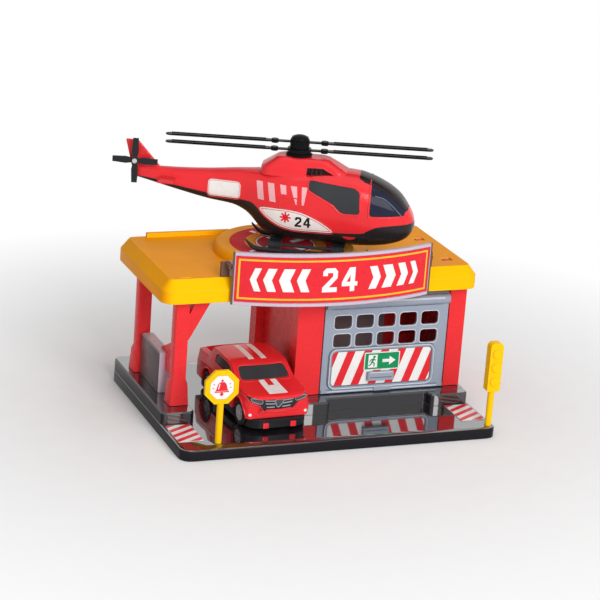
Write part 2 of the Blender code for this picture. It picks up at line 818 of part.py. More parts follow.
def build_sign():
    """The bowed sign board, its hooks over the roof's edge, and its label."""
    front = roof_front - sign_reach
    centre = (sign_centre_x, front + sign_radius)
    low = roof_bottom - sign_bottom_drop
    high = low + sign_height
    half_angle = math.asin(sign_width / 2 / sign_radius)
    board = arc_plate(sign_radius, sign_radius - sign_thickness, half_angle, low, high, centre)
    end_y = front + sign_radius - (sign_radius - sign_thickness) * math.cos(half_angle)
    end_x = (sign_radius - sign_thickness) * math.sin(half_angle)
    hook_low = roof_top + seat_gap
    hook_high = hook_low + hook_height
    hook_back = roof_front_top + hook_thickness
    arm_low = hook_high - hook_arm_height
    for side in (-1, 1):
        tip = sign_centre_x + side * (end_x + hook_outset)
        left, right = sorted((tip, tip - side * hook_width))
        board = join(board, block((left, roof_front_top, hook_low), (right, hook_back, hook_high)))
        root = sign_centre_x + side * (end_x - hook_width / 2)
        left, right = sorted((root, root + side * hook_root_width))
        board = join(board, block((left, end_y - sink, arm_low),
                                  (right, roof_front_top + sink, hook_high - sink / 4)))
    margin = sign_border / sign_radius
    recess = arc_plate(sign_radius + overrun, sign_radius - sign_recess, half_angle - margin,
                       low + sign_border, high - sign_border, centre)
    piece("sign_board", cut(board, recess), grey_pale)
    margin = (sign_border + seat_gap) / sign_radius
    seat = sign_radius - sign_recess + label_gap
    label = arc_plate(seat + label_thickness, seat, half_angle - margin,
                      low + sign_border + seat_gap, high - sign_border - seat_gap, centre)
    piece("sign_label", label, label_red)


def window_cutters(front, back):
    """Holes of the door's window grid, in the door's own frame."""
    cutters = []
    for row in range(window_rows):
        for column in range(window_columns):
            x = window_pitch_x * (column - (window_columns - 1) / 2)
            z = -window_row_drop - window_pitch_z * row
            outline = rounded_rectangle(window_width, window_height, window_corner_radius, (x, z), 3)
            cutters.append(prism(outline, front, back, "Y"))
    return cutters


def handle_block(margin):
    """The finger bar of the door, or the hole in the label round it."""
    front = -door_panel_lead - handle_reach
    back = -door_panel_lead + sink
    low = -handle_drop - handle_height / 2
    left = -handle_shift - handle_width / 2
    return block((left - margin, front, low - margin),
                 (left + handle_width + margin, back, low + handle_height + margin))


def build_door():
    """The grey flap: tube, panel, windows, raised frame, handle and ridge."""
    hinge = pivot("garage_door_axis", (door_centre_x, door_axis_y, door_axis_z))
    front = -door_panel_lead
    back = front + door_panel_thickness
    panel = block((-door_width / 2, front, -door_height), (door_width / 2, back, 0.0))
    panel = cut(panel, *window_cutters(front - overrun, back + overrun))
    half_tube = door_width / 2 + door_tube_overhang
    tube = rod(door_tube_radius, -half_tube, half_tube, "X", sides=24)
    roll = rod(door_roll_radius, -door_width / 2 + sink / 5, door_width / 2 - sink / 5, "X",
               (-door_roll_lead, -door_roll_drop), 28)
    stub = door_width / 2 + door_side_gap + door_stub_reach
    stubs = rod(door_stub_radius, -stub, stub, "X", sides=24)
    frame_centre = (-door_frame_shift, -door_frame_drop)
    face = front - door_frame_relief
    frame = prism(rounded_rectangle(door_frame_width, door_frame_height, door_frame_radius, frame_centre),
                  face, front + sink, "Y")
    field = prism(rounded_rectangle(door_frame_width - 2 * door_frame_rim,
                                    door_frame_height - 2 * door_frame_rim,
                                    door_frame_radius - door_frame_rim, frame_centre),
                  face - overrun, front + door_frame_relief / 5, "Y")
    ridge_top = -door_height + door_ridge_height
    ridge = block((-door_width / 2 + sink / 4, front - door_ridge_relief, -door_height + sink / 4),
                  (door_width / 2 - sink / 4, front + sink, ridge_top))
    bump = block((-door_bump_width / 2, front - door_ridge_relief - door_bump_relief,
                  -door_height + sink / 2),
                 (door_bump_width / 2, front + sink, ridge_top + sink / 2))
    door = join(panel, tube, roll, stubs, frame)
    door = cut(door, field)
    door = join(door, ridge, bump, handle_block(0.0))
    piece("door_panel", door, grey_door, hinge)
    seat = front + door_frame_relief / 5 - label_gap
    margin = door_frame_rim + seat_gap
    label = prism(rounded_rectangle(door_frame_width - 2 * margin, door_frame_height - 2 * margin,
                                    door_frame_radius - margin, frame_centre),
                  seat - label_thickness, seat, "Y")
    piece("door_label", cut(label, handle_block(seat_gap)), label_red, hinge)
    seat = seat - label_thickness - label_gap
    centre = (-door_frame_shift, -door_frame_drop + exit_label_rise)
    label = prism(rounded_rectangle(exit_label_width, exit_label_height, exit_label_height / 12, centre, 2),
                  seat - label_thickness, seat, "Y")
    piece("exit_label", label, label_green, hinge)


def build_alarm_sign():
    """The yellow octagon on its post, with a round white label."""
    stand = pivot("alarm_sign_axis", (*alarm_place, apron_height))
    across = alarm_flats / 2 / math.cos(math.pi / 8)
    turns = [math.pi / 8 + math.pi / 4 * i for i in range(8)]
    half = alarm_thickness / 2

    def octagon(radius, low, high):
        outline = [(radius * math.cos(t), alarm_height + radius * math.sin(t)) for t in turns]
        return prism(outline, low, high, "Y")

    plate = octagon(across, -half, half)
    inner = across - alarm_rim / math.cos(math.pi / 8)
    recess = octagon(inner, -half - overrun, -half + alarm_recess)
    post_bottom = socket_floor - apron_height + seat_gap
    post = rod(post_radius, post_bottom, alarm_height - alarm_flats / 2 + sink, sides=16)
    piece("alarm_sign", join(cut(plate, recess), post), yellow_gloss, stand)
    seat = -half + alarm_recess - label_gap
    label = octagon(inner - seat_gap, seat - label_thickness, seat)
    piece("alarm_label", label, label_white, stand)


def build_traffic_light():
    """A yellow traffic light moulded in one with its post."""
    stand = pivot("traffic_light_axis", (*light_place, apron_height))
    post_bottom = socket_floor - apron_height + seat_gap
    post = rod(post_radius, post_bottom, light_head_bottom + sink, sides=16)
    half = light_head_width / 2
    top = light_head_bottom + light_head_height
    corner = light_head_width / 3
    outline = [(-half + corner / 3, light_head_bottom), (half - corner / 3, light_head_bottom),
               (half, light_head_bottom + corner / 3)]
    for i in range(5):
        turn = math.pi / 2 * i / 4
        outline.append((half - corner + corner * math.cos(turn), top - corner + corner * math.sin(turn)))
    for i in range(5):
        turn = math.pi / 2 * (1 + i / 4)
        outline.append((-half + corner + corner * math.cos(turn), top - corner + corner * math.sin(turn)))
    outline.append((-half, light_head_bottom + corner / 3))
    head = prism(outline, -light_head_depth / 2, light_head_depth / 2, "Y")
    lamps = []
    middle = light_head_bottom + light_head_height / 2
    for i in (-1, 0, 1):
        lamps.append(rod(lamp_radius, -light_head_depth / 2 - lamp_relief, light_head_depth / 2 + lamp_relief,
                         "Y", (0.0, middle + lamp_pitch * i), 16))
    piece("traffic_light", join(post, head, *lamps), yellow_gloss, stand)


def build_apron_labels():
    """Striped labels on the apron in front of the outer podiums."""
    low = apron_height + label_gap
    back = podium_front - apron_label_gap
    for name, side in (("apron_label_left", -1), ("apron_label_right", 1)):
        outer = side * (base_width / 2 - base_edge - apron_label_inset)
        inner = outer - side * apron_label_width
        left, right = sorted((outer, inner))
        label = block((left, back - apron_label_length, low), (right, back, low + label_thickness))
        piece(name, label, label_red)


# Pickup body: shares of the length, height and half width along the car.
# Each row: place, top, waist height, half width at the sill, at the waist and at the top.
car_body_shares = [
    (0.000, 0.510, 0.27, 0.88, 0.90, 0.80), (0.012, 0.555, 0.30, 0.95, 0.96, 0.85),
    (0.045, 0.585, 0.33, 0.99, 0.99, 0.88), (0.110, 0.605, 0.36, 1.00, 1.00, 0.90),
    (0.190, 0.632, 0.38, 1.00, 1.00, 0.90), (0.258, 0.665, 0.41, 1.00, 1.00, 0.90),
    (0.285, 0.700, 0.42, 1.00, 1.00, 0.88), (0.415, 0.955, 0.44, 1.00, 0.99, 0.84),
    (0.470, 0.992, 0.45, 1.00, 0.99, 0.84), (0.620, 1.000, 0.45, 1.00, 0.99, 0.84),
    (0.745, 0.985, 0.45, 1.00, 0.99, 0.83), (0.800, 0.715, 0.44, 1.00, 0.99, 0.88),
    (0.880, 0.710, 0.43, 1.00, 0.99, 0.90), (0.970, 0.700, 0.41, 0.98, 0.97, 0.89),
    (1.000, 0.650, 0.38, 0.92, 0.92, 0.84)]
car_crown_share = 0.012
car_edge_share = 0.045
car_bow_reach_share = 0.25
shield_reach_shares = (0.255, 0.445)
rear_pane_reach_shares = (0.72, 0.84)
grille_reach_share = 0.115


def car_ring(row, inset, base, front):
    """One cross-section of the car's body, in the car's own frame."""
    place, top_share, waist_share, sill_share, waist_width, top_width = row
    y = front + car_length * place
    top = car_body_base + car_body_height * top_share - inset
    waist = car_body_base + car_body_height * waist_share
    edge = car_length * car_edge_share / 3
    half = car_width / 2
    sill = half * sill_share - inset
    middle = half * waist_width - inset
    upper = half * top_width - inset
    crown = car_length * car_crown_share / 2
    right = [(sill - edge / 2, base), (sill, base + edge / 2), (middle, waist),
             (middle - edge / 3, waist + edge), (upper + edge * 0.4, top - edge),
             (upper - edge / 3, top - edge / 4), (upper * 0.55, top + crown * 0.7)]
    ring = [(x, z) for x, z in right] + [(0.0, top + crown)] + [(-x, z) for x, z in reversed(right)]
    fade = max(0.0, 1.0 - place / car_bow_reach_share) ** 2
    return [Vector((x, y + fade * (car_nose_bow * (x / half) ** 2 - car_nose_push), z)) for x, z in ring]


def car_loft(inset, base, first, last):
    """The car's body as a solid between two rows of its table."""
    front = -car_front_overhang - car_wheelbase / 2
    rows = car_body_shares[first:last]
    rings = [car_ring(row, inset, base, front) for row in rows]
    if inset:
        rings[0] = [Vector((p.x, p.y + inset, p.z)) for p in rings[0]]
    return loft(rings)


def build_car():
    """The pickup: red body shell, dark glazing, grille, black chassis and wheels."""
    car = pivot("car_axis", (car_x, car_y, apron_height + seat_gap), car_turn)
    front = -car_front_overhang - car_wheelbase / 2
    half_base = car_wheelbase / 2
    arch_radius = wheel_radius + arch_clearance
    solid = car_loft(0.0, car_body_base, 0, len(car_body_shares))
    hollow = car_loft(car_shell, car_body_base - overrun, 1, 11)
    shell = cut(solid, hollow)
    arches = [rod(arch_radius, -car_width, car_width, "X", (y, wheel_radius), 24)
              for y in (-half_base, half_base)]
    bed_back = front + car_length - bed_wall
    rail = car_body_base + car_body_height * car_body_shares[12][1]
    bed = block((-bed_width / 2, bed_back - bed_length, rail - bed_depth),
                (bed_width / 2, bed_back, rail + overrun * 2))
    shell = cut(shell, *arches, bed)
    height = car_body_height
    base = car_body_base
    half = car_width / 2
    # Each pane: name, outline and whether it is seen along the car or across it
    shield_shares = [(-0.75, 0.685), (0.75, 0.685), (0.70, 0.905), (-0.70, 0.905)]
    rear_shares = [(-0.60, 0.70), (0.60, 0.70), (0.55, 0.90), (-0.55, 0.90)]
    side_shares = [(0.340, 0.670), (0.410, 0.86), (0.465, 0.905), (0.640, 0.905), (0.675, 0.83),
                   (0.675, 0.675)]
    grille_shares = [(-0.92, 0.560), (-0.86, 0.440), (-0.60, 0.370), (-0.44, 0.190), (0.44, 0.190),
                     (0.60, 0.370), (0.86, 0.440), (0.92, 0.560), (0.55, 0.500), (0.0, 0.495),
                     (-0.55, 0.500)]

    def across(shares):
        return [(half * u, base + height * v) for u, v in shares]

    def along(shares):
        return [(front + car_length * u, base + height * v) for u, v in shares]

    shield_front, shield_back = (front + car_length * share for share in shield_reach_shares)
    rear_front, rear_back = (front + car_length * share for share in rear_pane_reach_shares)
    grille_front, grille_back = front - car_nose_push - overrun, front + car_length * grille_reach_share
    windows = [
        ("car_windshield", across(shield_shares), shield_front, shield_back, "Y", dark_glazing),
        ("car_rear_window", across(rear_shares), rear_front, rear_back, "Y", dark_glazing),
        ("car_window_left", along(side_shares), -half - overrun, -half / 3, "X", dark_glazing),
        ("car_window_right", along(side_shares), half / 3, half + overrun, "X", dark_glazing),
        ("car_grille", across(grille_shares), grille_front, grille_back, "Y", black_satin)]
    panes = []
    for name, outline, low, high, axis, finish in windows:
        pane = keep_inside(shell.copy(), prism(outline, low, high, axis))
        panes.append((name, pane, finish))
    for name, outline, low, high, axis, finish in windows:
        shell = cut(shell, prism(offset_outline(outline, pane_gap), low - pane_gap, high + pane_gap, axis))
    piece("car_body", shell, red_gloss, car)
    for name, pane, finish in panes:
        piece(name, pane, finish, car)
    chassis_top = car_body_base - seat_gap
    chassis_bottom = chassis_top - chassis_height
    chassis = rounded_slab(chassis_width, car_length, chassis_width / 4,
                           [(chassis_bottom, sink / 2), (chassis_bottom + sink / 2, 0.0), (chassis_top, 0.0)],
                           (0.0, front + (car_length - car_nose_push) / 2), 5)
    wheel_wells = []
    for y in (-half_base, half_base):
        for side in (-1, 1):
            low, high = sorted((side * chassis_spine_width / 2, side * car_width))
            wheel_wells.append(rod(arch_radius, low, high, "X", (y, wheel_radius), 24))
    chassis = cut(chassis, *wheel_wells)
    bearings = []
    bores = []
    for y in (-half_base, half_base):
        inner = chassis_spine_width / 2 - sink
        bearings.append(block((-inner, y - bearing_length / 2, chassis_top - sink),
                              (inner, y + bearing_length / 2, chassis_top + bearing_height)))
        bores.append(rod(axle_radius + axle_clearance, -car_width, car_width, "X", (y, wheel_radius), 16))
    chassis = cut(join(chassis, *bearings), *bores)
    piece("car_chassis", chassis, black_satin, car)
    outer = car_width / 2 - wheel_gap
    inner = outer - wheel_width
    for end, y in (("front", -half_base), ("rear", half_base)):
        axle = pivot("car_" + end + "_axle_axis", (0.0, y, wheel_radius), parent=car)
        reach = outer - wheel_hub_depth
        piece("car_" + end + "_axle", rod(axle_radius, -reach, reach, "X", sides=16), steel, axle)
        for side_name, side in (("left", -1), ("right", 1)):
            low, high = sorted((side * inner, side * outer))
            tyre = tyre_shape(low, high)
            bore = rod(wheel_bore_radius + axle_clearance, low - overrun, high + overrun, "X", sides=16)
            face = side * outer
            pocket_low, pocket_high = sorted((face - side * wheel_hub_depth * 2, face + side * overrun))
            pocket = rod(wheel_hub_radius, pocket_low, pocket_high, "X", sides=20)
            piece("car_%s_%s_tyre" % (end, side_name), cut(tyre, bore, pocket), black_satin, axle, True)
            cap_low, cap_high = sorted((face - side * wheel_hub_depth * 0.6, face - side * seat_gap / 3))
            cap = rod(wheel_hub_radius - seat_gap, cap_low, cap_high, "X", sides=20)
            piece("car_%s_%s_cap" % (end, side_name), cap, hub_silver, axle, True)


def tyre_shape(low, high):
    """A tyre about the X axis with rounded shoulders."""
    shoulder = wheel_width / 6
    rings = []
    for x, radius in ((low, wheel_radius - shoulder), (low + shoulder, wheel_radius),
                      (high - shoulder, wheel_radius), (high, wheel_radius - shoulder)):
        rings.append([Vector((x, y, z)) for y, z in circle(radius, 28)])
    return loft(rings)


# Helicopter fuselage: place ahead of the mast as a share of the nose length (behind it, of the
# tail length), top, bottom and half width as shares of the height and the half width.
fuselage_shares = [
    (1.000, 0.425, 0.375, 0.10), (0.985, 0.490, 0.315, 0.34), (0.940, 0.600, 0.235, 0.58),
    (0.860, 0.730, 0.180, 0.78), (0.750, 0.830, 0.140, 0.90), (0.620, 0.905, 0.118, 0.97),
    (0.500, 0.945, 0.110, 1.00), (0.350, 0.955, 0.110, 1.00), (0.150, 0.940, 0.112, 1.00),
    (0.000, 0.925, 0.118, 0.99), (-0.090, 0.905, 0.125, 0.93), (-0.145, 0.890, 0.150, 0.84),
    (-0.195, 0.880, 0.215, 0.72), (-0.240, 0.873, 0.310, 0.60), (-0.285, 0.867, 0.380, 0.48),
    (-0.360, 0.855, 0.440, 0.38), (-0.500, 0.825, 0.475, 0.32), (-0.680, 0.800, 0.545, 0.26),
    (-0.850, 0.790, 0.620, 0.20), (-0.930, 0.785, 0.655, 0.16)]
# The parting line between the red shell and the black belly, seen from the side
parting_shares = [
    (1.10, 0.40), (0.97, 0.405), (0.85, 0.420), (0.70, 0.400), (0.620, 0.345), (0.560, 0.310), (0.280, 0.290),
    (0.090, 0.292), (-0.070, 0.322), (-0.140, 0.375), (-0.195, 0.455), (-0.240, 0.520), (-0.290, 0.530),
    (-0.400, 0.540), (-0.520, 0.565), (-0.700, 0.610), (-0.860, 0.665), (-1.10, 0.68)]
# The cowling: place of its rear and front end at its foot and the change towards its top; the
# heights of its foot and of its shoulder; and its rows of level and narrowing
cowl_reach_shares = [(-0.215, 0.10), (0.430, -0.18)]
cowl_height_shares = (0.86, 0.935)
cowl_row_shares = [(0.0, 1.0), (0.55, 0.86), (1.0, 0.62)]
windshield_shares = [(0.530, 1.10), (0.575, 0.965), (0.632, 0.900), (0.632, 0.545), (0.650, 0.525),
                     (0.930, 0.545), (0.985, 0.440), (1.10, 0.450), (1.10, 1.10)]
cabin_window_shares = [(0.115, 0.860), (0.490, 0.820), (0.535, 0.780), (0.545, 0.565), (0.535, 0.540),
                       (0.405, 0.535), (0.365, 0.575), (0.333, 0.625), (0.120, 0.760)]
fin_shares = [(-0.77, 0.62), (-0.93, 1.0), (-1.0, 1.0), (-0.955, 0.62)]
fuselage_power = 2.7
fuselage_sides = 24


def heli_x_at(share):
    return share * (heli_nose if share > 0 else heli_tail)


def fuselage_ring(row, inset):
    place, top_share, bottom_share, width_share = row
    top = heli_height * top_share - inset
    bottom = heli_height * bottom_share + inset
    half = max(heli_half_width * width_share - inset, heli_shell / 4)
    middle = (top + bottom) / 2
    rise = (top - bottom) / 2
    ring = []
    for i in range(fuselage_sides):
        turn = 2 * math.pi * (i + 0.5) / fuselage_sides
        c, s = math.cos(turn), math.sin(turn)
        y = half * math.copysign(abs(c) ** (2 / fuselage_power), c)
        z = middle + rise * math.copysign(abs(s) ** (2 / fuselage_power), s)
        ring.append(Vector((heli_x_at(place), y, z)))
    return ring


def fuselage(inset):
    rows = fuselage_shares[1:-2] if inset else fuselage_shares
    rings = [fuselage_ring(row, inset) for row in rows]
    if inset:
        rings[0] = [Vector((p.x - inset, p.y, p.z)) for p in rings[0]]
    return loft(rings)


def side_outline(shares):
    return [(heli_x_at(x), heli_height * z) for x, z in shares]


def parting_cutter(keep_above, gap):
    """Everything below (or above) the parting line, as a cutter."""
    line = [(x, z + gap) for x, z in side_outline(parting_shares)]
    far = -heli_height if keep_above else heli_height * 3
    outline = line + [(line[-1][0], far), (line[0][0], far)]
    return prism(outline, -heli_half_width * 2, heli_half_width * 2, "Y")


def cowl_shape(inset):
    """The engine cowling on top of the cabin, narrower towards its top."""
    rings = []
    foot, shoulder = cowl_height_shares
    (rear, rear_change), (front, front_change) = cowl_reach_shares
    for level, narrow in cowl_row_shares:
        top = heli_height * shoulder + cowl_height * level - inset
        low_x = heli_x_at(rear + rear_change * level) + inset
        high_x = heli_x_at(front + front_change * level) - inset
        half = cowl_half_width * narrow - inset
        corner = half * 0.5
        outline = rounded_rectangle(high_x - low_x, 2 * half, corner, ((low_x + high_x) / 2, 0.0), 3)
        rings.append([Vector((x, y, top if level else heli_height * foot)) for x, y in outline])
    return loft(rings)


def build_helicopter():
    """Fuselage shells, glazing, skids, fin and mast of the helicopter."""
    heli = pivot("helicopter_axis", (heli_x, heli_y, heli_ground), heli_turn)
    fin = prism([(x, heli_height * 0.72 + fin_height * (z - 0.6) * 1.9) for x, z in
                 [(heli_x_at(x), z) for x, z in fin_shares]], -fin_thickness / 2, fin_thickness / 2, "Y")
    chord = stabiliser_chord
    wing_x = heli_x_at(-0.74)
    wing_z = heli_height * 0.69
    wing = block((wing_x - chord / 2, -stabiliser_span / 2, wing_z - stabiliser_thickness / 2),
                 (wing_x + chord / 2, stabiliser_span / 2, wing_z + stabiliser_thickness / 2))
    body = join(fuselage(0.0), cowl_shape(0.0))
    shell = cut(body, fuselage(heli_shell))
    upper = cut(shell.copy(), parting_cutter(True, heli_part_gap / 2))
    lower = cut(shell, parting_cutter(False, -heli_part_gap / 2))
    upper = join(upper, fin, wing)
    reach = heli_half_width + overrun
    panes = [("heli_windshield", side_outline(windshield_shares), -reach, reach),
             ("heli_window_near", side_outline(cabin_window_shares), -reach, -heli_half_width / 3),
             ("heli_window_far", side_outline(cabin_window_shares), heli_half_width / 3, reach)]
    glazing = []
    for name, outline, low, high in panes:
        glazing.append((name, keep_inside(upper.copy(), prism(outline, low, high, "Y"))))
    for name, outline, low, high in panes:
        upper = cut(upper, prism(offset_outline(outline, pane_gap), low - pane_gap, high + pane_gap, "Y"))
    mast_low = heli_height * 0.80
    bore = rod(mast_radius + mast_clearance, mast_low + sink, rotor_height, sides=16)
    mast_seat = rod(mast_radius * 2.5, mast_low - sink, heli_height * 0.93, sides=16)
    upper = cut(join(upper, mast_seat), bore)
    pin_x, pin_z = tail_hub
    boss = rod(tail_boss_radius, -tail_boss_reach, 0.0, "Y", (pin_x, pin_z), 16)
    pin_hole = rod(tail_pin_radius + mast_clearance, -tail_boss_reach - overrun, seat_gap, "Y",
                   (pin_x, pin_z), 12)
    upper = cut(join(upper, boss), pin_hole)
    piece("heli_upper_shell", upper, red_gloss, heli, True)
    for name, pane in glazing:
        piece(name, pane, dark_glazing, heli, True)
    piece("heli_lower_shell", cut(lower, *strut_slots()), black_satin, heli, True)
    piece("skid_gear", skid_gear(), black_satin, heli)
    piece("rotor_mast", rod(mast_radius, mast_low + sink + seat_gap, mast_top, sides=16), steel, heli)
    build_rotor(heli)
    build_tail_rotor(heli)


def strut_slots():
    """Shallow seats for the cross bars, cut from the belly's underside."""
    bottom = heli_height * 0.118
    slots = []
    for x in (strut_rear, strut_front):
        half = strut_width / 2 + seat_gap
        slots.append(block((x - half, -heli_half_width * 2, -overrun),
                           (x + half, heli_half_width * 2, bottom + heli_shell / 3)))
    return slots


def skid_gear():
    """Runners with upturned ends, broad cross struts and a step on each side."""
    half_track = skid_track / 2
    bar_top = heli_height * 0.118 + heli_shell / 3 - seat_gap
    bar_bottom = bar_top - strut_thickness
    gear = None
    for x in (strut_rear, strut_front):
        half = strut_width / 2
        outline = [(-half_track - strut_thickness * 0.6, 0.0), (-half_track + strut_thickness * 0.9, 0.0),
                   (-half_track + strut_thickness * 1.6, bar_bottom - strut_thickness / 2),
                   (-half_track + strut_thickness * 2.6, bar_bottom),
                   (half_track - strut_thickness * 2.6, bar_bottom),
                   (half_track - strut_thickness * 1.6, bar_bottom - strut_thickness / 2),
                   (half_track - strut_thickness * 0.9, 0.0), (half_track + strut_thickness * 0.6, 0.0),
                   (half_track + strut_thickness * 0.3, bar_bottom), (half_track - strut_thickness, bar_top),
                   (-half_track + strut_thickness, bar_top), (-half_track - strut_thickness * 0.3, bar_bottom)]
        strut = prism(outline, x - half, x + half, "X")
        gear = join(gear, strut) if gear else strut
    for side in (-1, 1):
        y = side * (half_track - skid_radius * 0.2)
        gear = join(gear, runner(y), rod(step_radius, strut_rear, strut_front, "X", (y, step_height), 8))
    return gear


def runner(y):
    """One skid tube along the ground, curved up at both ends."""
    rear, front, tip, rise = -skid_rear, skid_front, skid_tip_length, skid_tip_rise
    stations = [(rear - tip, rise, 0.45), (rear - tip * 0.6, rise * 0.45, 0.9),
                (rear - tip * 0.25, rise * 0.1, 1.0), (rear + tip * 0.2, 0.0, 1.0),
                (front - tip * 0.2, 0.0, 1.0), (front + tip * 0.25, rise * 0.1, 1.0),
                (front + tip * 0.6, rise * 0.45, 0.9), (front + tip, rise, 0.45)]
    rings = []
    for x, lift, size in stations:
        ring = circle(skid_radius * size, 10, (y, skid_radius + lift))
        rings.append([Vector((x, u, v)) for u, v in ring])
    return loft(rings)


def blade_bar(turn, ring_radius, ring_height, level):
    """Two opposite blades at a level of their middle ring, ribbed on top."""
    half = blade_width / 2
    root = blade_root_width / 2
    neck = blade_root_radius
    shoulder = neck * 1.3
    tip = rotor_length
    start = ring_radius * 0.6
    low = level - blade_thickness / 2
    bar = rod(ring_radius, 0.0, ring_height, sides=24)
    for side in (1, -1):
        outline = [(start, -root), (neck, -root), (shoulder, -half), (tip - half, -half),
                   (tip - half * 0.3, -half * 0.7), (tip, 0.0), (tip - half * 0.3, half * 0.7),
                   (tip - half, half), (shoulder, half), (neck, root), (start, root)]
        outline = [(side * x, side * y) for x, y in outline]
        blade = prism(outline, low, low + blade_thickness)
        knob = rod(blade_root_width * 0.62, level - hub_ring_height / 2, level + hub_ring_height / 2,
                   centre=(side * neck, 0.0), sides=12)
        ribs = []
        for row in (-1, 1):
            y = row * (half - blade_rib_width * 0.8)
            start_x, end_x = sorted((side * shoulder * 1.05, side * (tip - half * 1.4)))
            ribs.append(block((start_x, y - blade_rib_width / 2, low + blade_thickness / 2),
                              (end_x, y + blade_rib_width / 2, low + blade_thickness + blade_rib)))
        bar = join(bar, blade, knob, *ribs)
    bar = cut(bar, rod(mast_radius + mast_clearance, -overrun, ring_height + overrun, sides=16))
    bar.transform(Matrix.Rotation(turn - heli_turn, 4, "Z"))
    return bar


def build_rotor(heli):
    """Two double blades, one above the other, under a domed cap."""
    lower_z = rotor_height - hub_ring_height - seat_gap / 2
    upper_z = rotor_height + seat_gap / 2
    rotor = pivot("main_rotor_axis", (0.0, 0.0, upper_z), parent=heli)
    spread = pivot("blade_spread_axis", (0.0, 0.0, lower_z), parent=heli)
    upper = blade_bar(blade_turn_upper, upper_ring_radius, upper_hub_height, upper_blade_level)
    lower = blade_bar(blade_turn_lower, lower_ring_radius, hub_ring_height, hub_ring_height / 2)
    piece("rotor_blades_upper", upper, black_gloss, rotor)
    piece("rotor_blades_lower", lower, black_gloss, spread)
    base = upper_hub_height + seat_gap
    rings = [(cap_radius, base), (cap_radius, base + cap_height * 0.18)]
    for i in range(6):
        turn = math.pi / 2 * i / 6
        rings.append((cap_radius * 0.94 * math.cos(turn), base + cap_height * (0.18 + 0.82 * math.sin(turn))))
    rings.append((0.0, base + cap_height))
    cap = turned(rings, 24)
    hole = rod(mast_radius + mast_clearance, base - overrun, base + cap_height / 2, sides=16)
    piece("rotor_cap", cut(cap, hole), black_gloss, rotor, True)
    collar_low = heli_height * cowl_height_shares[1] + cowl_height + seat_gap
    collar = turned([(hub_radius, collar_low), (hub_radius * 1.05, (collar_low + lower_z) / 2),
                     (hub_radius * 0.9, lower_z - seat_gap)], 24)
    collar = cut(collar, rod(mast_radius + mast_clearance, collar_low - overrun, lower_z + overrun, sides=16))
    piece("rotor_collar", collar, black_gloss, heli, True)


def build_tail_rotor(heli):
    """A small four-blade rotor on a pin in the near side of the fin."""
    pin_x, pin_z = tail_hub
    gap = tail_boss_reach + seat_gap
    axis = pivot("tail_rotor_axis", (pin_x, 0.0, pin_z), parent=heli)
    near = -gap - tail_rotor_thickness
    hub = rod(tail_rotor_hub_radius, near - seat_gap, -gap, "Y", sides=16)
    for i in range(tail_blades):
        half = tail_blade_width / 2
        outline = [(0.0, -half * 0.5), (tail_rotor_radius * 0.4, -half), (tail_rotor_radius, -half * 0.8),
                   (tail_rotor_radius, half * 0.8), (tail_rotor_radius * 0.4, half), (0.0, half * 0.5)]
        blade = prism(outline, near, -gap - seat_gap, "Y")
        blade.transform(Matrix.Rotation(2 * math.pi * i / tail_blades, 4, "Y"))
        hub = join(hub, blade)
    hub = cut(hub, rod(tail_pin_radius + mast_clearance, near - overrun, 0.0, "Y", sides=12))
    piece("tail_rotor", hub, black_satin, axis)
    head = near - seat_gap * 2
    shank = rod(tail_pin_radius, head - sink / 2, 0.0, "Y", sides=12)
    cap = rod(tail_pin_radius * 1.8, head - sink, head, "Y", sides=12)
    pin = join(shank, cap)
    pin.transform(Matrix.Translation((pin_x, 0.0, pin_z)))
    piece("tail_rotor_pin", pin, steel, heli)


heli_ground = pad_top + label_gap + label_thickness + seat_gap
mast_top = rotor_height + upper_hub_height + cap_height / 2
tail_hub = (heli_x_at(-0.935), heli_height * 0.72 + fin_height * 0.30)

build_base()
build_screws()
build_side_wall("left_wall", building_left, left_opening_edge, 1,
                (upright_places["left_front"], upright_places["left_rear"]), -1)
build_side_wall("right_wall", building_right, right_opening_edge, -1,
                (upright_places["right_front"], upright_places["right_rear"]), 1)
build_rear_wall()
build_door_header()
build_columns()
build_low_wall()
build_roof()
build_sign()
build_door()
build_alarm_sign()
build_traffic_light()
build_apron_labels()
build_car()
build_helicopter()
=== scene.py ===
import math

import bmesh
import bpy
from mathutils import Matrix, Vector
from mathutils.bvhtree import BVHTree


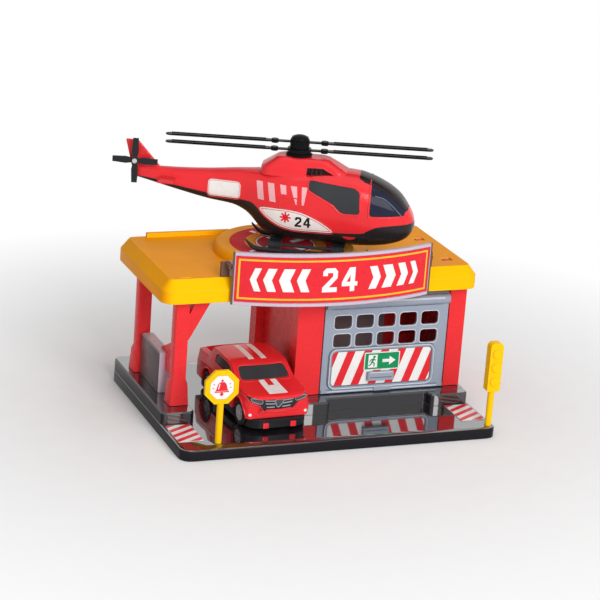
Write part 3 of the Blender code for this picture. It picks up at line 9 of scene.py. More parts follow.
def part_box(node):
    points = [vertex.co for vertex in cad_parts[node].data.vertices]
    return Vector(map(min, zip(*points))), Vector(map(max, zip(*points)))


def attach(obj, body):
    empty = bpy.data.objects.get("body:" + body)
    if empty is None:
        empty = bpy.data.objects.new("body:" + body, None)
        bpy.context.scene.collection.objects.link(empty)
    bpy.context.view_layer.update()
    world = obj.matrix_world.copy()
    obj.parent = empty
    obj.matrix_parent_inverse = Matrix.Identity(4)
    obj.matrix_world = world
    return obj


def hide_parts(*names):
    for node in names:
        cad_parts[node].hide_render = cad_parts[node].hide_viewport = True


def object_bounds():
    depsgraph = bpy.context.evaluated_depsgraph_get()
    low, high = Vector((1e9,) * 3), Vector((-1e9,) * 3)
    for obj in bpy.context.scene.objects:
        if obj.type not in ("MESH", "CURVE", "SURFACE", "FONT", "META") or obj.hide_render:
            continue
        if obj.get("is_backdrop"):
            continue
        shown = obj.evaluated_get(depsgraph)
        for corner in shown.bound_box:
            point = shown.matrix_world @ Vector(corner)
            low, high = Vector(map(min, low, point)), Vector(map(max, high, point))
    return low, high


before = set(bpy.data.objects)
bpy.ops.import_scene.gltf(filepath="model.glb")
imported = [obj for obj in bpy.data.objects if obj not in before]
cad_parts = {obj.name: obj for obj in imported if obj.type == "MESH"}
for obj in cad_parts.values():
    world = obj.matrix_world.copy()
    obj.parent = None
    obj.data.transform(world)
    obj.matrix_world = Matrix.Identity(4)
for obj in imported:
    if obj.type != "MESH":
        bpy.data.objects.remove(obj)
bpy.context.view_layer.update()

# Base tray. One large moulding in black high-gloss plastic, open underneath, with the apron in
# front and the raised plinth behind. Its top came off a polished tool, so it mirrors the door;
# it carries faint sink waves, rub marks, a little dust and a painted pale highlight along its edges.


def feed(tree, node, inputs):
    """Give a node's sockets their plain values or links."""
    for socket, value in inputs.items():
        if isinstance(value, bpy.types.NodeSocket):
            tree.links.new(value, node.inputs[socket])
        else:
            node.inputs[socket].default_value = value
    return node


def put(tree, kind, inputs=None, **settings):
    """Add a shader node."""
    made = tree.nodes.new("ShaderNode" + kind)
    for key, value in settings.items():
        setattr(made, key, value)
    return feed(tree, made, inputs or {})


def bump(tree, height, strength, distance, **under):
    """The surface's direction over a height."""
    made = put(tree, "Bump", {"Height": height, "Strength": strength, "Distance": distance, **under})
    return made.outputs["Normal"]


def calc(tree, operation, *values):
    """A sum on one or two values or links."""
    return put(tree, "Math", dict(enumerate(values)), operation=operation).outputs["Value"]


def split(tree, vector):
    """A vector's shares along X, Y and Z."""
    return put(tree, "SeparateXYZ", {"Vector": vector}).outputs


def mixed(tree, share, first, second):
    """The first colour fading to the second."""
    return put(tree, "Mix", {0: share, 6: first, 7: second}, data_type="RGBA").outputs[2]


def span(tree, value, low, high, to_low=0.0, to_high=1.0):
    """A value's range stretched to another range."""
    return put(tree, "MapRange", {"Value": value, "From Min": low, "From Max": high,
                                  "To Min": to_low, "To Max": to_high}).outputs["Result"]


def cloud(tree, place, scale, detail=3.0, twist=0.0):
    return put(tree, "TexNoise", {"Vector": place, "Scale": scale, "Detail": detail,
                                  "Distortion": twist}).outputs["Fac"]


def shaded(colour, change):
    return (*(min(1.0, max(0.0, part * (1.0 + change) + 0.001)) for part in colour), 1.0)


def blank_finish(name):
    """A new finish, its nodes, its shader and the place on the object."""
    finish = bpy.data.materials.new(name)
    finish.use_nodes = True
    tree = finish.node_tree
    return finish, tree, tree.nodes["Principled BSDF"], put(tree, "TexCoord").outputs["Object"]


def uneven(tree, share, colour, drift):
    """A colour that drifts from a little darker to a little lighter."""
    return mixed(tree, share, shaded(colour, -drift), shaded(colour, drift))


def moulded(name, colour, gloss, drift=0.03, rub=0.08, sag=0.16, grain=0.2, painted_edge_highlight=0.22, dust=0.0,
            density=1.22, edge=0.0004, mirror=0.0, painted_top_shade=None, left=None):
    """Injection moulded plastic: flow marks, rubbed gloss, sink waves, fine grain, softened edges with a painted
    pale highlight along them, optional painted shade on top and left faces, and dust.
    """
    finish, tree, shader, place = blank_finish(name)
    facing = put(tree, "NewGeometry").outputs["Normal"]
    soft = put(tree, "Bevel", {"Radius": edge}, samples=4).outputs["Normal"]
    bend = put(tree, "VectorMath", {0: soft, 1: facing}, operation="DOT_PRODUCT").outputs["Value"]
    # Painted highlight: edges found by the bevel normal are mixed towards a paler colour.
    rim = span(tree, bend, 0.995, 0.86, 0.0, painted_edge_highlight)
    flow = span(tree, cloud(tree, place, 24.0, 3.0, 1.2), 0.3, 0.7)
    paler = 0.25
    body = uneven(tree, flow, colour, drift)
    body = mixed(tree, rim, body, shaded(tuple(part + (1.0 - part) * paler for part in colour), 0.0))
    # Painted shade: faces turned up, and faces turned left, are mixed towards a darker tone; the top tone also
    # serves the left faces when no left tone is given.
    ways = split(tree, facing)
    upward = span(tree, ways["Z"], 0.6, 1.0)
    leftward = span(tree, ways["X"], -0.4, -0.9)
    for tone, share in ((painted_top_shade, upward), (left or painted_top_shade, leftward)):
        if tone:
            body = mixed(tree, share, body, uneven(tree, flow, tone, drift))
    fleck = span(tree, cloud(tree, place, 950.0, 2.0), 0.6, 0.72)
    settled = calc(tree, "MULTIPLY", calc(tree, "MULTIPLY", upward, fleck), dust)
    dust_grey = (0.42, 0.41, 0.4, 1.0)
    rubbed = span(tree, cloud(tree, place, 65.0, 5.0, 2.0), 0.35, 0.65, gloss - rub * 0.25, gloss + rub)
    wave = bump(tree, cloud(tree, place, 34.0, 1.0), sag, 0.0004, Normal=soft)
    feed(tree, shader, {
        "Base Color": mixed(tree, settled, body, dust_grey), "Roughness": calc(tree, "ADD", rubbed, settled),
        "Normal": bump(tree, cloud(tree, place, 1500.0, 2.0), grain, 0.00002, Normal=wave), "IOR": density})
    if mirror:
        flat = span(tree, rim, 0.0, max(painted_edge_highlight, 0.01), 1.0, 0.0)
        feed(tree, shader, {"Coat Weight": calc(tree, "MULTIPLY", upward, flat), "Coat Roughness": 0.03,
                            "Coat IOR": mirror})
    return finish


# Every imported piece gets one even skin: its facets are joined and shaded smooth up to 35 degrees.
even_skin = bpy.data.node_groups.new("even_skin", "GeometryNodeTree")
for way in ("INPUT", "OUTPUT"):
    even_skin.interface.new_socket("Geometry", in_out=way, socket_type="NodeSocketGeometry")
skin_in, skin_bare, skin_weld, skin_faces, skin_edges, skin_angle, skin_test, skin_out = (
    even_skin.nodes.new(kind) for kind in (
        "NodeGroupInput", "GeometryNodeRemoveAttribute", "GeometryNodeMergeByDistance",
        "GeometryNodeSetShadeSmooth", "GeometryNodeSetShadeSmooth", "GeometryNodeInputMeshEdgeAngle",
        "FunctionNodeCompare", "NodeGroupOutput"))
skin_bare.inputs["Name"].default_value = "custom_normal"
skin_weld.inputs["Distance"].default_value = 0.000001
skin_edges.domain = "EDGE"
skin_test.operation = "LESS_THAN"
skin_test.inputs["B"].default_value = math.radians(35)
for first, second in ((skin_in, skin_bare), (skin_bare, skin_weld), (skin_weld, skin_faces),
                      (skin_faces, skin_edges), (skin_edges, skin_out)):
    even_skin.links.new(first.outputs[0], second.inputs["Geometry"])
even_skin.links.new(skin_angle.outputs["Unsigned Angle"], skin_test.inputs["A"])
even_skin.links.new(skin_test.outputs["Result"], skin_edges.inputs["Shade Smooth"])


def dress(finish, *names):
    """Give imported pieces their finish."""
    for name in names:
        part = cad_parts[name]
        for slot in part.material_slots:
            slot.material = finish
        part.modifiers.new("skin", "NODES").node_group = even_skin


# Painted highlight: a strong pale line along the tray's edges.
tray_plastic = moulded("black_gloss_tray", (0.01, 0.009, 0.012), 0.1, rub=0.05, sag=0.08, grain=0.08,
                       painted_edge_highlight=0.5, dust=0.12, mirror=3.2)
dress(tray_plastic, "base_tray")

# The plinth's upright front faces are as glossy as the apron, the tray's outer sides are not.
tree = tray_plastic.node_tree
gloss_weight = tree.nodes["Principled BSDF"].inputs["Coat Weight"]
ways = split(tree, put(tree, "NewGeometry").outputs["Normal"])
spot = split(tree, put(tree, "TexCoord").outputs["Object"])
inner_front = span(tree, ways["Y"], -0.6, -0.98, 0.0, 0.4)
for share in (span(tree, spot["Y"], -0.08, -0.075), span(tree, spot["Z"], 0.008, 0.0084)):
    inner_front = calc(tree, "MULTIPLY", inner_front, share)
tree.links.new(calc(tree, "MAXIMUM", gloss_weight.links[0].from_socket, inner_front), gloss_weight)

# Screws, axles and pins. Bright zinc-plated steel, turned and driven up from under the tray or
# pressed through the wheels and rotors; a fine grain and faint blotches run over them.


def plated_steel(name):
    finish, tree, shader, place = blank_finish(name)
    blotch = cloud(tree, place, 300.0, 4.0, 1.0)
    feed(tree, shader, {
        "Base Color": mixed(tree, span(tree, blotch, 0.3, 0.7), (0.5, 0.49, 0.47, 1.0), (0.68, 0.68, 0.69, 1.0)),
        "Roughness": span(tree, blotch, 0.35, 0.65, 0.18, 0.36),
        "Normal": bump(tree, cloud(tree, place, 2600.0, 2.0), 0.3, 0.00001), "Metallic": 1.0})
    return finish


zinc = plated_steel("zinc_plated_steel")
dress(zinc, "screw_left_front", "screw_right_front", "screw_left_rear", "screw_right_rear", "screw_front_column",
      "screw_rear_column", "rotor_mast", "tail_rotor_pin", "car_front_axle", "car_rear_axle")

# Garage walls, header and columns. Solid-coloured red plastic, moulded in flat halves and screwed
# to the plinth; the faces are glossy with slow sink waves and the corners carry a painted paler highlight line.

wall_red = moulded("red_wall_plastic", (0.8, 0.03, 0.036), 0.24, rub=0.1, sag=0.25, grain=0.3, painted_edge_highlight=0.3,
                   dust=0.05)
dress(wall_red, "left_wall", "right_wall", "rear_wall", "door_header", "front_column", "rear_column")

# Low wall and rear shutter. The same grey plastic as the door's, a shade paler on the low wall
# between the columns; both are plain mouldings slid between their neighbours.

# The low wall's left faces are mixed to a dark tone: painted shade.
low_wall_grey = moulded("pale_grey_plastic", (0.62, 0.54, 0.64), 0.28, grain=0.3, painted_edge_highlight=0.45, dust=0.08,
                        left=(0.11, 0.075, 0.08))
# The shutter's grey is darkened and tinted red-brown: painted shade and painted red reflection inside the garage.
shutter_grey = moulded("shutter_grey_plastic", (0.3, 0.22, 0.23), 0.3, grain=0.3, painted_edge_highlight=0.3)
dress(low_wall_grey, "low_wall")
dress(shutter_grey, "rear_shutter")

# Roof deck. A wide tray in yolk-yellow plastic that drops over the walls, with a chamfered
# fascia, a raised helipad ring and a rail; the broad top shows flow marks from the moulding.

# The top and left faces are mixed to a darker orange: painted shade.
roof_yellow = moulded("yellow_roof_plastic", (1.0, 0.51, 0.002), 0.3, grain=0.35, painted_edge_highlight=0.28, dust=0.04,
                      density=1.08, edge=0.0006, painted_top_shade=(0.92, 0.34, 0.004))
dress(roof_yellow, "roof_deck")

# Helipad label. A round printed film stuck on the pad: red field, an orange landing ring, a thin
# white ring and four white bars with a short one beyond each, every colour its own ink layer.

film_thickness = 0.0003
ink_step = 0.00003
ink_level = film_thickness + ink_step


def film(name, colour, gloss=0.3, drift=0.04, density=1.2, coat=0.12):
    """Printed self-adhesive film: ink laid slightly unevenly under a clear gloss coat."""
    finish, tree, shader, place = blank_finish(name)
    ink = uneven(tree, span(tree, cloud(tree, place, 160.0, 4.0, 0.6), 0.3, 0.7), colour, drift)
    dots = span(tree, put(tree, "TexVoronoi", {"Vector": place, "Scale": 1400.0}).outputs["Distance"], 0.2, 0.7,
                0.0, 0.08)
    feed(tree, shader, {
        "Base Color": mixed(tree, dots, ink, shaded(colour, -0.5)),
        "Roughness": span(tree, cloud(tree, place, 90.0, 5.0, 1.5), 0.35, 0.65, gloss - 0.06, gloss + 0.12),
        "Normal": bump(tree, cloud(tree, place, 120.0, 2.0), 0.25, 0.00012), "IOR": density, "Coat Weight": coat,
        "Coat Roughness": 0.12})
    return finish


ink_red = film("red_ink", (0.76, 0.022, 0.034))
ink_white = film("white_ink", (0.84, 0.83, 0.82))
ink_yellow = film("yellow_ink", (1.0, 0.5, 0.035))
ink_black = film("black_ink", (0.012, 0.012, 0.014))
ink_green = film("green_ink", (0.006, 0.27, 0.095))
ink_rose = film("rose_ink", (0.86, 0.44, 0.46))
pad_red = film("pad_red_ink", (0.66, 0.016, 0.024), density=1.05, coat=0.0)
pad_orange = film("pad_orange_ink", (0.9, 0.27, 0.006), density=1.05, coat=0.0)


def fit(name, bm, finishes, body, stands_for=(), smooth=35, place=None):
    """Finish a made piece: mesh, finishes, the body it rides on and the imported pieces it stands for."""
    mesh = bpy.data.meshes.new(name)
    if place is not None:
        bm.transform(place)
    bm.to_mesh(mesh)
    bm.free()
    for finish in finishes:
        mesh.materials.append(finish)
    mesh.shade_smooth()
    mesh.set_sharp_from_angle(angle=math.radians(smooth))
    part = bpy.data.objects.new(name, mesh)
    bpy.context.scene.collection.objects.link(part)
    even = part.modifiers.new("even", "WEIGHTED_NORMAL")
    even.keep_sharp = True
    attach(part, body)
    if stands_for:
        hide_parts(*stands_for)


def area_of(outline):
    return sum(a[0] * b[1] - b[0] * a[1] for a, b in zip(outline, outline[1:] + outline[:1])) / 2


def all_of(bm):
    return [*bm.verts, *bm.edges, *bm.faces]


def cut_flat(outline, limit=None, step_u=None, step_v=None):
    """A flat shape as small faces, cut to a convex limit and into even strips."""
    sheet = bmesh.new()
    points = outline if area_of(outline) > 0 else outline[::-1]
    face = sheet.faces.new([sheet.verts.new((u, v, 0.0)) for u, v in points])
    if len(points) > 3:
        face.normal_update()
        bmesh.ops.triangulate(sheet, faces=[face])
    for a, b in zip(limit or [], (limit or [])[1:] + (limit or [])[:1]):
        outward = Vector((b[1] - a[1], a[0] - b[0], 0.0))
        bmesh.ops.bisect_plane(sheet, geom=all_of(sheet), plane_co=(*a, 0.0), plane_no=outward, clear_outer=True)
    for axis, step in ((0, step_u), (1, step_v)):
        if step and sheet.verts:
            low = min(vert.co[axis] for vert in sheet.verts)
            high = max(vert.co[axis] for vert in sheet.verts)
            aim = Vector((1.0, 0.0, 0.0)) if axis == 0 else Vector((0.0, 1.0, 0.0))
            for i in range(math.floor(low / step) + 1, math.ceil(high / step)):
                bmesh.ops.bisect_plane(sheet, geom=all_of(sheet), plane_co=aim * (i * step), plane_no=aim)
    return sheet


def film_print(outline, place, step=None):
    """A label's own film with front, back and cut edge, and what lays flat shapes of ink on it."""
    bm = bmesh.new()

    def lay(ink, shapes, level=ink_level, limit=None, back=False):
        for shape in shapes:
            sheet = cut_flat(shape, limit, step)
            placed = {vert: bm.verts.new(place(vert.co.x, vert.co.y, level)) for vert in sheet.verts}
            for face in sheet.faces:
                corners = [placed[vert] for vert in face.verts]
                bm.faces.new(corners[::-1] if back else corners).material_index = ink
            sheet.free()

    lay(0, [outline], film_thickness)
    lay(0, [outline], 0.0, back=True)
    for a, b in zip(outline, outline[1:] + outline[:1]):
        count = max(1, math.ceil(abs(a[0] - b[0]) / step)) if step else 1
        for i in range(count):
            p = Vector(a).lerp(Vector(b), i / count)
            q = Vector(a).lerp(Vector(b), (i + 1) / count)
            bm.faces.new([bm.verts.new(place(*at)) for at in
                          ((*p, 0.0), (*q, 0.0), (*q, film_thickness), (*p, film_thickness))])
    return bm, lay


def lying(x, y, z):
    """Where a print on a level face comes to lie."""
    return lambda u, v, w: Vector((x + u, y + v, z + w))


def upright(x, y, z):
    """The same on a face towards the front."""
    return lambda u, v, w: Vector((x + u, y - w, z + v))


def ring_points(radius, count, centre=(0.0, 0.0), turn=0.0):
    return [(centre[0] + radius * math.cos(turn + math.tau * i / count),
             centre[1] + radius * math.sin(turn + math.tau * i / count)) for i in range(count)]


def between(outer, inner):
    """The band between two outlines, as four-sided shapes."""
    count = len(outer)
    return [[outer[i], outer[(i + 1) % count], inner[(i + 1) % count], inner[i]] for i in range(count)]


def bar(start, end, width):
    """A straight bar between two points."""
    along = Vector(end) - Vector(start)
    side = Vector((-along.y, along.x)).normalized() * width / 2
    return [tuple(Vector(start) - side), tuple(Vector(end) - side), tuple(Vector(end) + side),
            tuple(Vector(start) + side)]


pad_sides = 96
pad_label, lay = film_print(ring_points(0.041, pad_sides), lying(-0.011, 0.02575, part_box("helipad_label")[0].z))
for ink, outer, inner in ((2, 0.03, 0.0225), (1, 0.0219, 0.0209)):
    lay(ink, between(ring_points(outer, pad_sides), ring_points(inner, pad_sides)))
for i in range(4):
    turn = math.radians(25 + 90 * i)
    heading = Vector((math.cos(turn), math.sin(turn)))
    for start, end, width in ((0.006, 0.0185, 0.0048), (0.0312, 0.0362, 0.003)):
        lay(1, [bar(heading * start, heading * end, width)])
fit("helipad_print", pad_label, [pad_red, ink_white, pad_orange], "station", ["helipad_label"])

# Sign board. A bowed board in pale lilac-grey plastic with a raised border, hung by two hooks
# on the roof's front edge. Its label carries the station's number between pointed bars inside
# a thin yellow line.

# The board's left faces are mixed to a dark brown: painted shade.
sign_plastic = moulded("sign_grey_plastic", (0.56, 0.47, 0.56), 0.3, grain=0.3, painted_edge_highlight=0.5, dust=0.06,
                       density=1.15, left=(0.26, 0.15, 0.11))
dress(sign_plastic, "sign_board")

sign_middle = (0.003, 0.153)
sign_seat = 0.2013
sign_level = 0.11475
sign_half_width = 0.0759
sign_half_height = 0.0167
# Painted shadow: the hooks beyond the board's ends are mixed to dark brown.
hook_start = 0.0748
hook_fade = 0.0004
tree = sign_plastic.node_tree
paint = tree.nodes["Principled BSDF"].inputs["Base Color"]
sideways = split(tree, put(tree, "TexCoord").outputs["Object"])["X"]
sideways = calc(tree, "ABSOLUTE", calc(tree, "SUBTRACT", sideways, sign_middle[0]))
hook_painted_shadow = span(tree, sideways, hook_start, hook_start + hook_fade)
tree.links.new(mixed(tree, hook_painted_shadow, paint.links[0].from_socket, (0.16, 0.085, 0.06, 1.0)), paint)


def on_sign(u, v, w):
    turn = u / sign_seat
    return Vector((sign_middle[0] + (sign_seat + w) * math.sin(turn),
                   sign_middle[1] - (sign_seat + w) * math.cos(turn), sign_level + v))


def rounded(width, height, radius, centre=(0.0, 0.0), steps=6):
    """A rectangle with round corners, anticlockwise."""
    points = []
    for quarter, (sx, sy) in enumerate(((1, 1), (-1, 1), (-1, -1), (1, -1))):
        for i in range(steps + 1):
            turn = math.pi / 2 * (quarter + i / steps)
            points.append((centre[0] + sx * (width / 2 - radius) + radius * math.cos(turn),
                           centre[1] + sy * (height / 2 - radius) + radius * math.sin(turn)))
    return points


# The two figures as flat shapes, one unit high.
figure_two = [[(0, 0), (0.62, 0), (0.62, 0.2), (0.27, 0.2), (0.62, 0.58), (0.62, 0.86), (0.5, 1.0), (0.12, 1.0),
               (0, 0.86), (0, 0.68), (0.2, 0.68), (0.2, 0.8), (0.42, 0.8), (0.42, 0.65), (0, 0.2)]]
figure_four = [[(0.36, 0), (0.56, 0), (0.56, 1.0), (0.36, 1.0)], [(0, 0.22), (0.36, 0.22), (0.36, 0.4), (0, 0.4)],
               [(0.56, 0.22), (0.68, 0.22), (0.68, 0.4), (0.56, 0.4)],
               [(0, 0.4), (0.2, 0.4), (0.36, 0.7), (0.36, 1.0), (0.3, 1.0)]]
two_width = 0.62
four_width = 0.68
figure_gap = 0.2


def number(height, centre):
    """Both figures side by side about a point."""
    total = two_width + figure_gap + four_width
    return [[(centre[0] + (start + x - total / 2) * height, centre[1] + (y - 0.5) * height) for x, y in shape]
            for figure, start in ((figure_two, 0.0), (figure_four, two_width + figure_gap)) for shape in figure]


def sign_outline(margin, radius):
    return rounded(2 * (sign_half_width - margin), 2 * (sign_half_height - margin), radius, steps=2)


sign_label, lay = film_print(sign_outline(0.0, 0.0006), on_sign, 0.004)
lay(2, between(sign_outline(0.0019, 0.0004), sign_outline(0.0032, 0.0002)))
lay(1, number(0.0178, (0.0, 0.0)))
bar_half = 0.0085
bar_point = 0.0035
for side in (-1, 1):
    for start, width in ((0.0225, 0.0062), (0.0335, 0.008), (0.0465, 0.0062), (0.0575, 0.0046)):
        foot, tip, lean = side * start, side * (start + width), side * bar_point
        lay(1, [[(foot, -bar_half), (tip, -bar_half), (tip + lean, 0.0), (tip, bar_half), (foot, bar_half),
                 (foot + lean, 0.0)]])
fit("sign_print", sign_label, [ink_red, ink_white, ink_yellow], "station", ["sign_label"])

# Garage door. A blue-grey flap that hangs from its own tube between the pilasters: ten windows,
# each with a moulded bead round it, a raised frame for the striped label, and a finger bar.
# Pale beads stand for painted highlights and dark beads for painted shade.

door_plastic = moulded("door_grey_plastic", (0.3, 0.345, 0.425), 0.22, sag=0.3, grain=0.25, painted_edge_highlight=0.65,
                       dust=0.04, density=1.35, mirror=2.0)
painted_highlight_grey = moulded("painted_highlight_rim", (0.66, 0.7, 0.77), 0.2, grain=0.2, painted_edge_highlight=0.4)
painted_shade_grey = moulded("painted_shade_rim", (0.15, 0.17, 0.22), 0.25, grain=0.2, painted_edge_highlight=0.1)
dress(door_plastic, "door_panel")

door_middle = 0.05475
frame_middle = (0.05325, 0.0361)
door_face = -0.02
bead_radius = 0.00036


def tube_along(bm, path, radius, closed, sides=8, normals=None, index=0):
    """A thin round bead along a path."""
    rings = []
    count = len(path)
    for i, point in enumerate(path):
        if closed:
            ahead = path[(i + 1) % count] - path[i - 1]
        else:
            ahead = path[min(i + 1, count - 1)] - path[max(i - 1, 0)]
        ahead.normalize()
        up = normals[i] if normals else Vector((0.0, -1.0, 0.0))
        across = ahead.cross(up).normalized()
        lift = across.cross(ahead).normalized()
        rings.append([bm.verts.new(point + (across * math.cos(t) + lift * math.sin(t)) * radius)
                      for t in (math.tau * k / sides for k in range(sides))])
    for i in range(count if closed else count - 1):
        first, second = rings[i], rings[(i + 1) % count]
        for k in range(sides):
            m = (k + 1) % sides
            bm.faces.new((first[k], second[k], second[m], first[m])).material_index = index
    if not closed:
        bm.faces.new(rings[0]).material_index = index
        bm.faces.new(rings[-1][::-1]).material_index = index


beads = bmesh.new()


def front_bead(points, depth, index, closed=True):
    """A bead that runs over the door's face."""
    tube_along(beads, [Vector((x, door_face - depth, z)) for x, z in points], bead_radius, closed, index=index)


# Pale beads round the windows: painted highlights on their rims.
window_pitch = 0.0172
for level in (0.072, 0.0579):
    for column in range(-2, 3):
        middle = (door_middle + window_pitch * column, level)
        front_bead(rounded(0.014 + bead_radius, 0.0105 + bead_radius, 0.0028, middle, 7), -bead_radius * 0.25, 1)
# The frame's outline: dark beads of painted shade on either side of a pale bead of painted highlight.
for margin, depth, index in ((-0.0012, 0.0001, 2), (0.0006, 0.0011, 1), (0.0042, 0.0003, 2)):
    front_bead(rounded(0.0835 - margin, 0.031 - margin, 0.0055 - margin / 2, frame_middle, 9), depth, index)
roll_half = 0.044
bar_middle = 0.05195
bar_reach = 0.0088
# On the roll, the finger bar and the bottom ridge, pale beads are painted highlights and dark beads are painted
# shadow under them.
for middle, half, count, level, depth, index in (
        (door_middle, roll_half, 4, 0.0822, 0.00005, 2), (door_middle, roll_half, 4, 0.08309, 0.00156, 2),
        (door_middle, roll_half, 4, 0.08748, 0.00314, 1), (door_middle, roll_half, 4, 0.08812, 0.00294, 1),
        (bar_middle, bar_reach, 1, 0.0327, 0.0041, 1), (bar_middle, bar_reach, 1, 0.029, 0.0042, 2),
        (door_middle, roll_half, 4, 0.0189, 0.0012, 1), (door_middle, roll_half, 4, 0.0203, 0.0012, 2)):
    front_bead([(middle + half * i / count, level) for i in range(-count, count + 1)], depth, index, False)
bmesh.ops.recalc_face_normals(beads, faces=beads.faces)
fit("door_light_and_shade_beads", beads, [door_plastic, painted_highlight_grey, painted_shade_grey], "garage_door")

# Door label. Red and white warning stripes on film inside the door's frame, with the green
# way-out label stuck over it.

stripe_width = 0.079
stripe_height = 0.0268
stripe_start = 0.0023
stripe_pitch = 0.0135
stripe_band = 0.0064
stripe_lean = 0.0096
stripe_edge = rounded(stripe_width, stripe_height, 0.0035)
stripes, lay = film_print(stripe_edge, upright(frame_middle[0], -0.0199, frame_middle[1]))
for i in range(-1, 6):
    foot = -stripe_width / 2 + stripe_start + stripe_pitch * i
    shape = [(foot, -stripe_height / 2), (foot + stripe_band, -stripe_height / 2),
             (foot + stripe_band + stripe_lean, stripe_height / 2), (foot + stripe_lean, stripe_height / 2)]
    lay(1, [shape], limit=stripe_edge)
fit("door_stripes", stripes, [ink_white, ink_red], "garage_door", ["door_label"])

exit_width = 0.0282
exit_height = 0.0138
exit_line = 0.0014
exit_edge = rounded(exit_width, exit_height, 0.0008)
way_out, lay = film_print(exit_edge, upright(frame_middle[0], -0.0203, 0.0406))
lay(1, between(exit_edge, rounded(exit_width - exit_line, exit_height - exit_line, 0.0005)))
arrow = [(0.0005, -0.0012), (0.006, -0.0012), (0.006, -0.0034), (0.011, 0.0), (0.006, 0.0034),
         (0.006, 0.0012), (0.0005, 0.0012)]
lay(1, [arrow])
lay(1, [rounded(0.0072, 0.01, 0.0003, (-0.0072, 0.0), 2)])
runner = [ring_points(0.00105, 16, (-0.0062, 0.0033)), *(bar(start, end, width) for start, end, width in (
    ((-0.0066, 0.0022), (-0.0078, -0.0006), 0.0016), ((-0.0078, -0.0006), (-0.0058, -0.0018), 0.0011),
    ((-0.0058, -0.0018), (-0.0062, -0.0041), 0.0009), ((-0.008, -0.0006), (-0.0086, -0.0024), 0.0011),
    ((-0.0086, -0.0024), (-0.0104, -0.0034), 0.0009), ((-0.0068, 0.0018), (-0.005, 0.0006), 0.0008),
    ((-0.007, 0.0018), (-0.0092, 0.001), 0.0008), ((-0.0092, 0.001), (-0.0098, -0.0006), 0.0007)))]
for i, shape in enumerate(runner):
    lay(0, [shape], ink_level + ink_step * (1 + 0.2 * i))
fit("exit_print", way_out, [ink_green, ink_white], "garage_door", ["exit_label"])

# Alarm sign. A yellow octagon moulded in one with its post, which drops into a socket in the
# apron; its white label shows a red hand bell of plain shape.

sign_yellow = moulded("yellow_sign_plastic", (1.0, 0.54, 0.003), 0.24, grain=0.3, painted_edge_highlight=0.35, density=1.12)
dress(sign_yellow, "alarm_sign", "traffic_light")

bell, lay = film_print(ring_points(0.0092, 8, turn=math.pi / 8), upright(-0.0905, -0.074, 0.0493))
bell_side = [(0.005, -0.0026), (0.0041, -0.0014), (0.0037, 0.0006), (0.0029, 0.0028), (0.0014, 0.004)]
dome = bell_side + [(-x, y) for x, y in reversed(bell_side)]
lay(1, [dome, [(-0.0054, -0.0037), (0.0054, -0.0037), (0.0051, -0.0028), (-0.0051, -0.0028)]])
lay(1, [ring_points(0.0013, 18, (0.0, -0.005)), ring_points(0.0009, 16, (0.0, 0.005))])
lay(0, [[(-0.003, -0.0012), (-0.0022, -0.0012), (-0.0014, 0.0028), (-0.0021, 0.0028)]], ink_level + ink_step)
for side in (-1, 1):
    lay(1, [bar((side * 0.0054, 0.002), (side * 0.0064, 0.003), 0.0006),
            bar((side * 0.0058, -0.0004), (side * 0.007, -0.0002), 0.0006)])
fit("alarm_print", bell, [ink_white, ink_red], "alarm_stand", ["alarm_label"])

# Apron labels. Two small red and white striped films on the apron, in front of the outer
# podiums. Their stripes rise to the right and end at the film's round-cornered edge.

apron_pitch = 0.0088
apron_band = 0.0044
apron_slope = 0.6
for name in ("left", "right"):
    low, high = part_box("apron_label_" + name)
    centre = (low + high) / 2
    width, length = high.x - low.x, high.y - low.y
    edge = rounded(width, length, 0.0008, steps=3)
    apron, lay = film_print(edge, lying(centre.x, centre.y, low.z))
    for i in range(-2, 5):
        foot = -length / 2 + apron_pitch * i
        rise = foot + width * apron_slope
        lay(1, [[(-width / 2, foot), (width / 2, rise), (width / 2, rise + apron_band),
                 (-width / 2, foot + apron_band)]], limit=edge)
    fit("apron_stripes_" + name, apron, [ink_white, ink_red], "station", ["apron_label_" + name])

# Pickup body. A one-piece red shell with a cab, a short bed and bulged arches. It is drawn
# through the same stations as its solid, then cut for arches, bed and glazing; door gaps and
# a lip round each arch are moulded in.

car_place = Matrix.Translation((-0.0427, -0.013, 0.0083)) @ Matrix.Rotation(math.radians(2.5), 4, "Z")
car_length = 0.102
car_front = -0.047
car_base = 0.009
car_height = 0.0292
car_half = 0.025
car_bow = 0.0065
car_push = 0.002
car_stations = [
    (0.0, 0.51, 0.27, 0.88, 0.9, 0.8), (0.012, 0.555, 0.3, 0.95, 0.96, 0.85),
    (0.045, 0.585, 0.33, 0.99, 0.99, 0.88), (0.11, 0.605, 0.36, 1.0, 1.0, 0.9),
    (0.19, 0.632, 0.38, 1.0, 1.0, 0.9), (0.258, 0.665, 0.41, 1.0, 1.0, 0.9),
    (0.285, 0.7, 0.42, 1.0, 1.0, 0.88), (0.415, 0.955, 0.44, 1.0, 0.99, 0.84),
    (0.47, 0.992, 0.45, 1.0, 0.99, 0.84), (0.62, 1.0, 0.45, 1.0, 0.99, 0.84),
    (0.745, 0.985, 0.45, 1.0, 0.99, 0.83), (0.8, 0.715, 0.44, 1.0, 0.99, 0.88),
    (0.88, 0.71, 0.43, 1.0, 0.99, 0.9), (0.97, 0.7, 0.41, 0.98, 0.97, 0.89),
    (1.0, 0.65, 0.38, 0.92, 0.92, 0.84)]


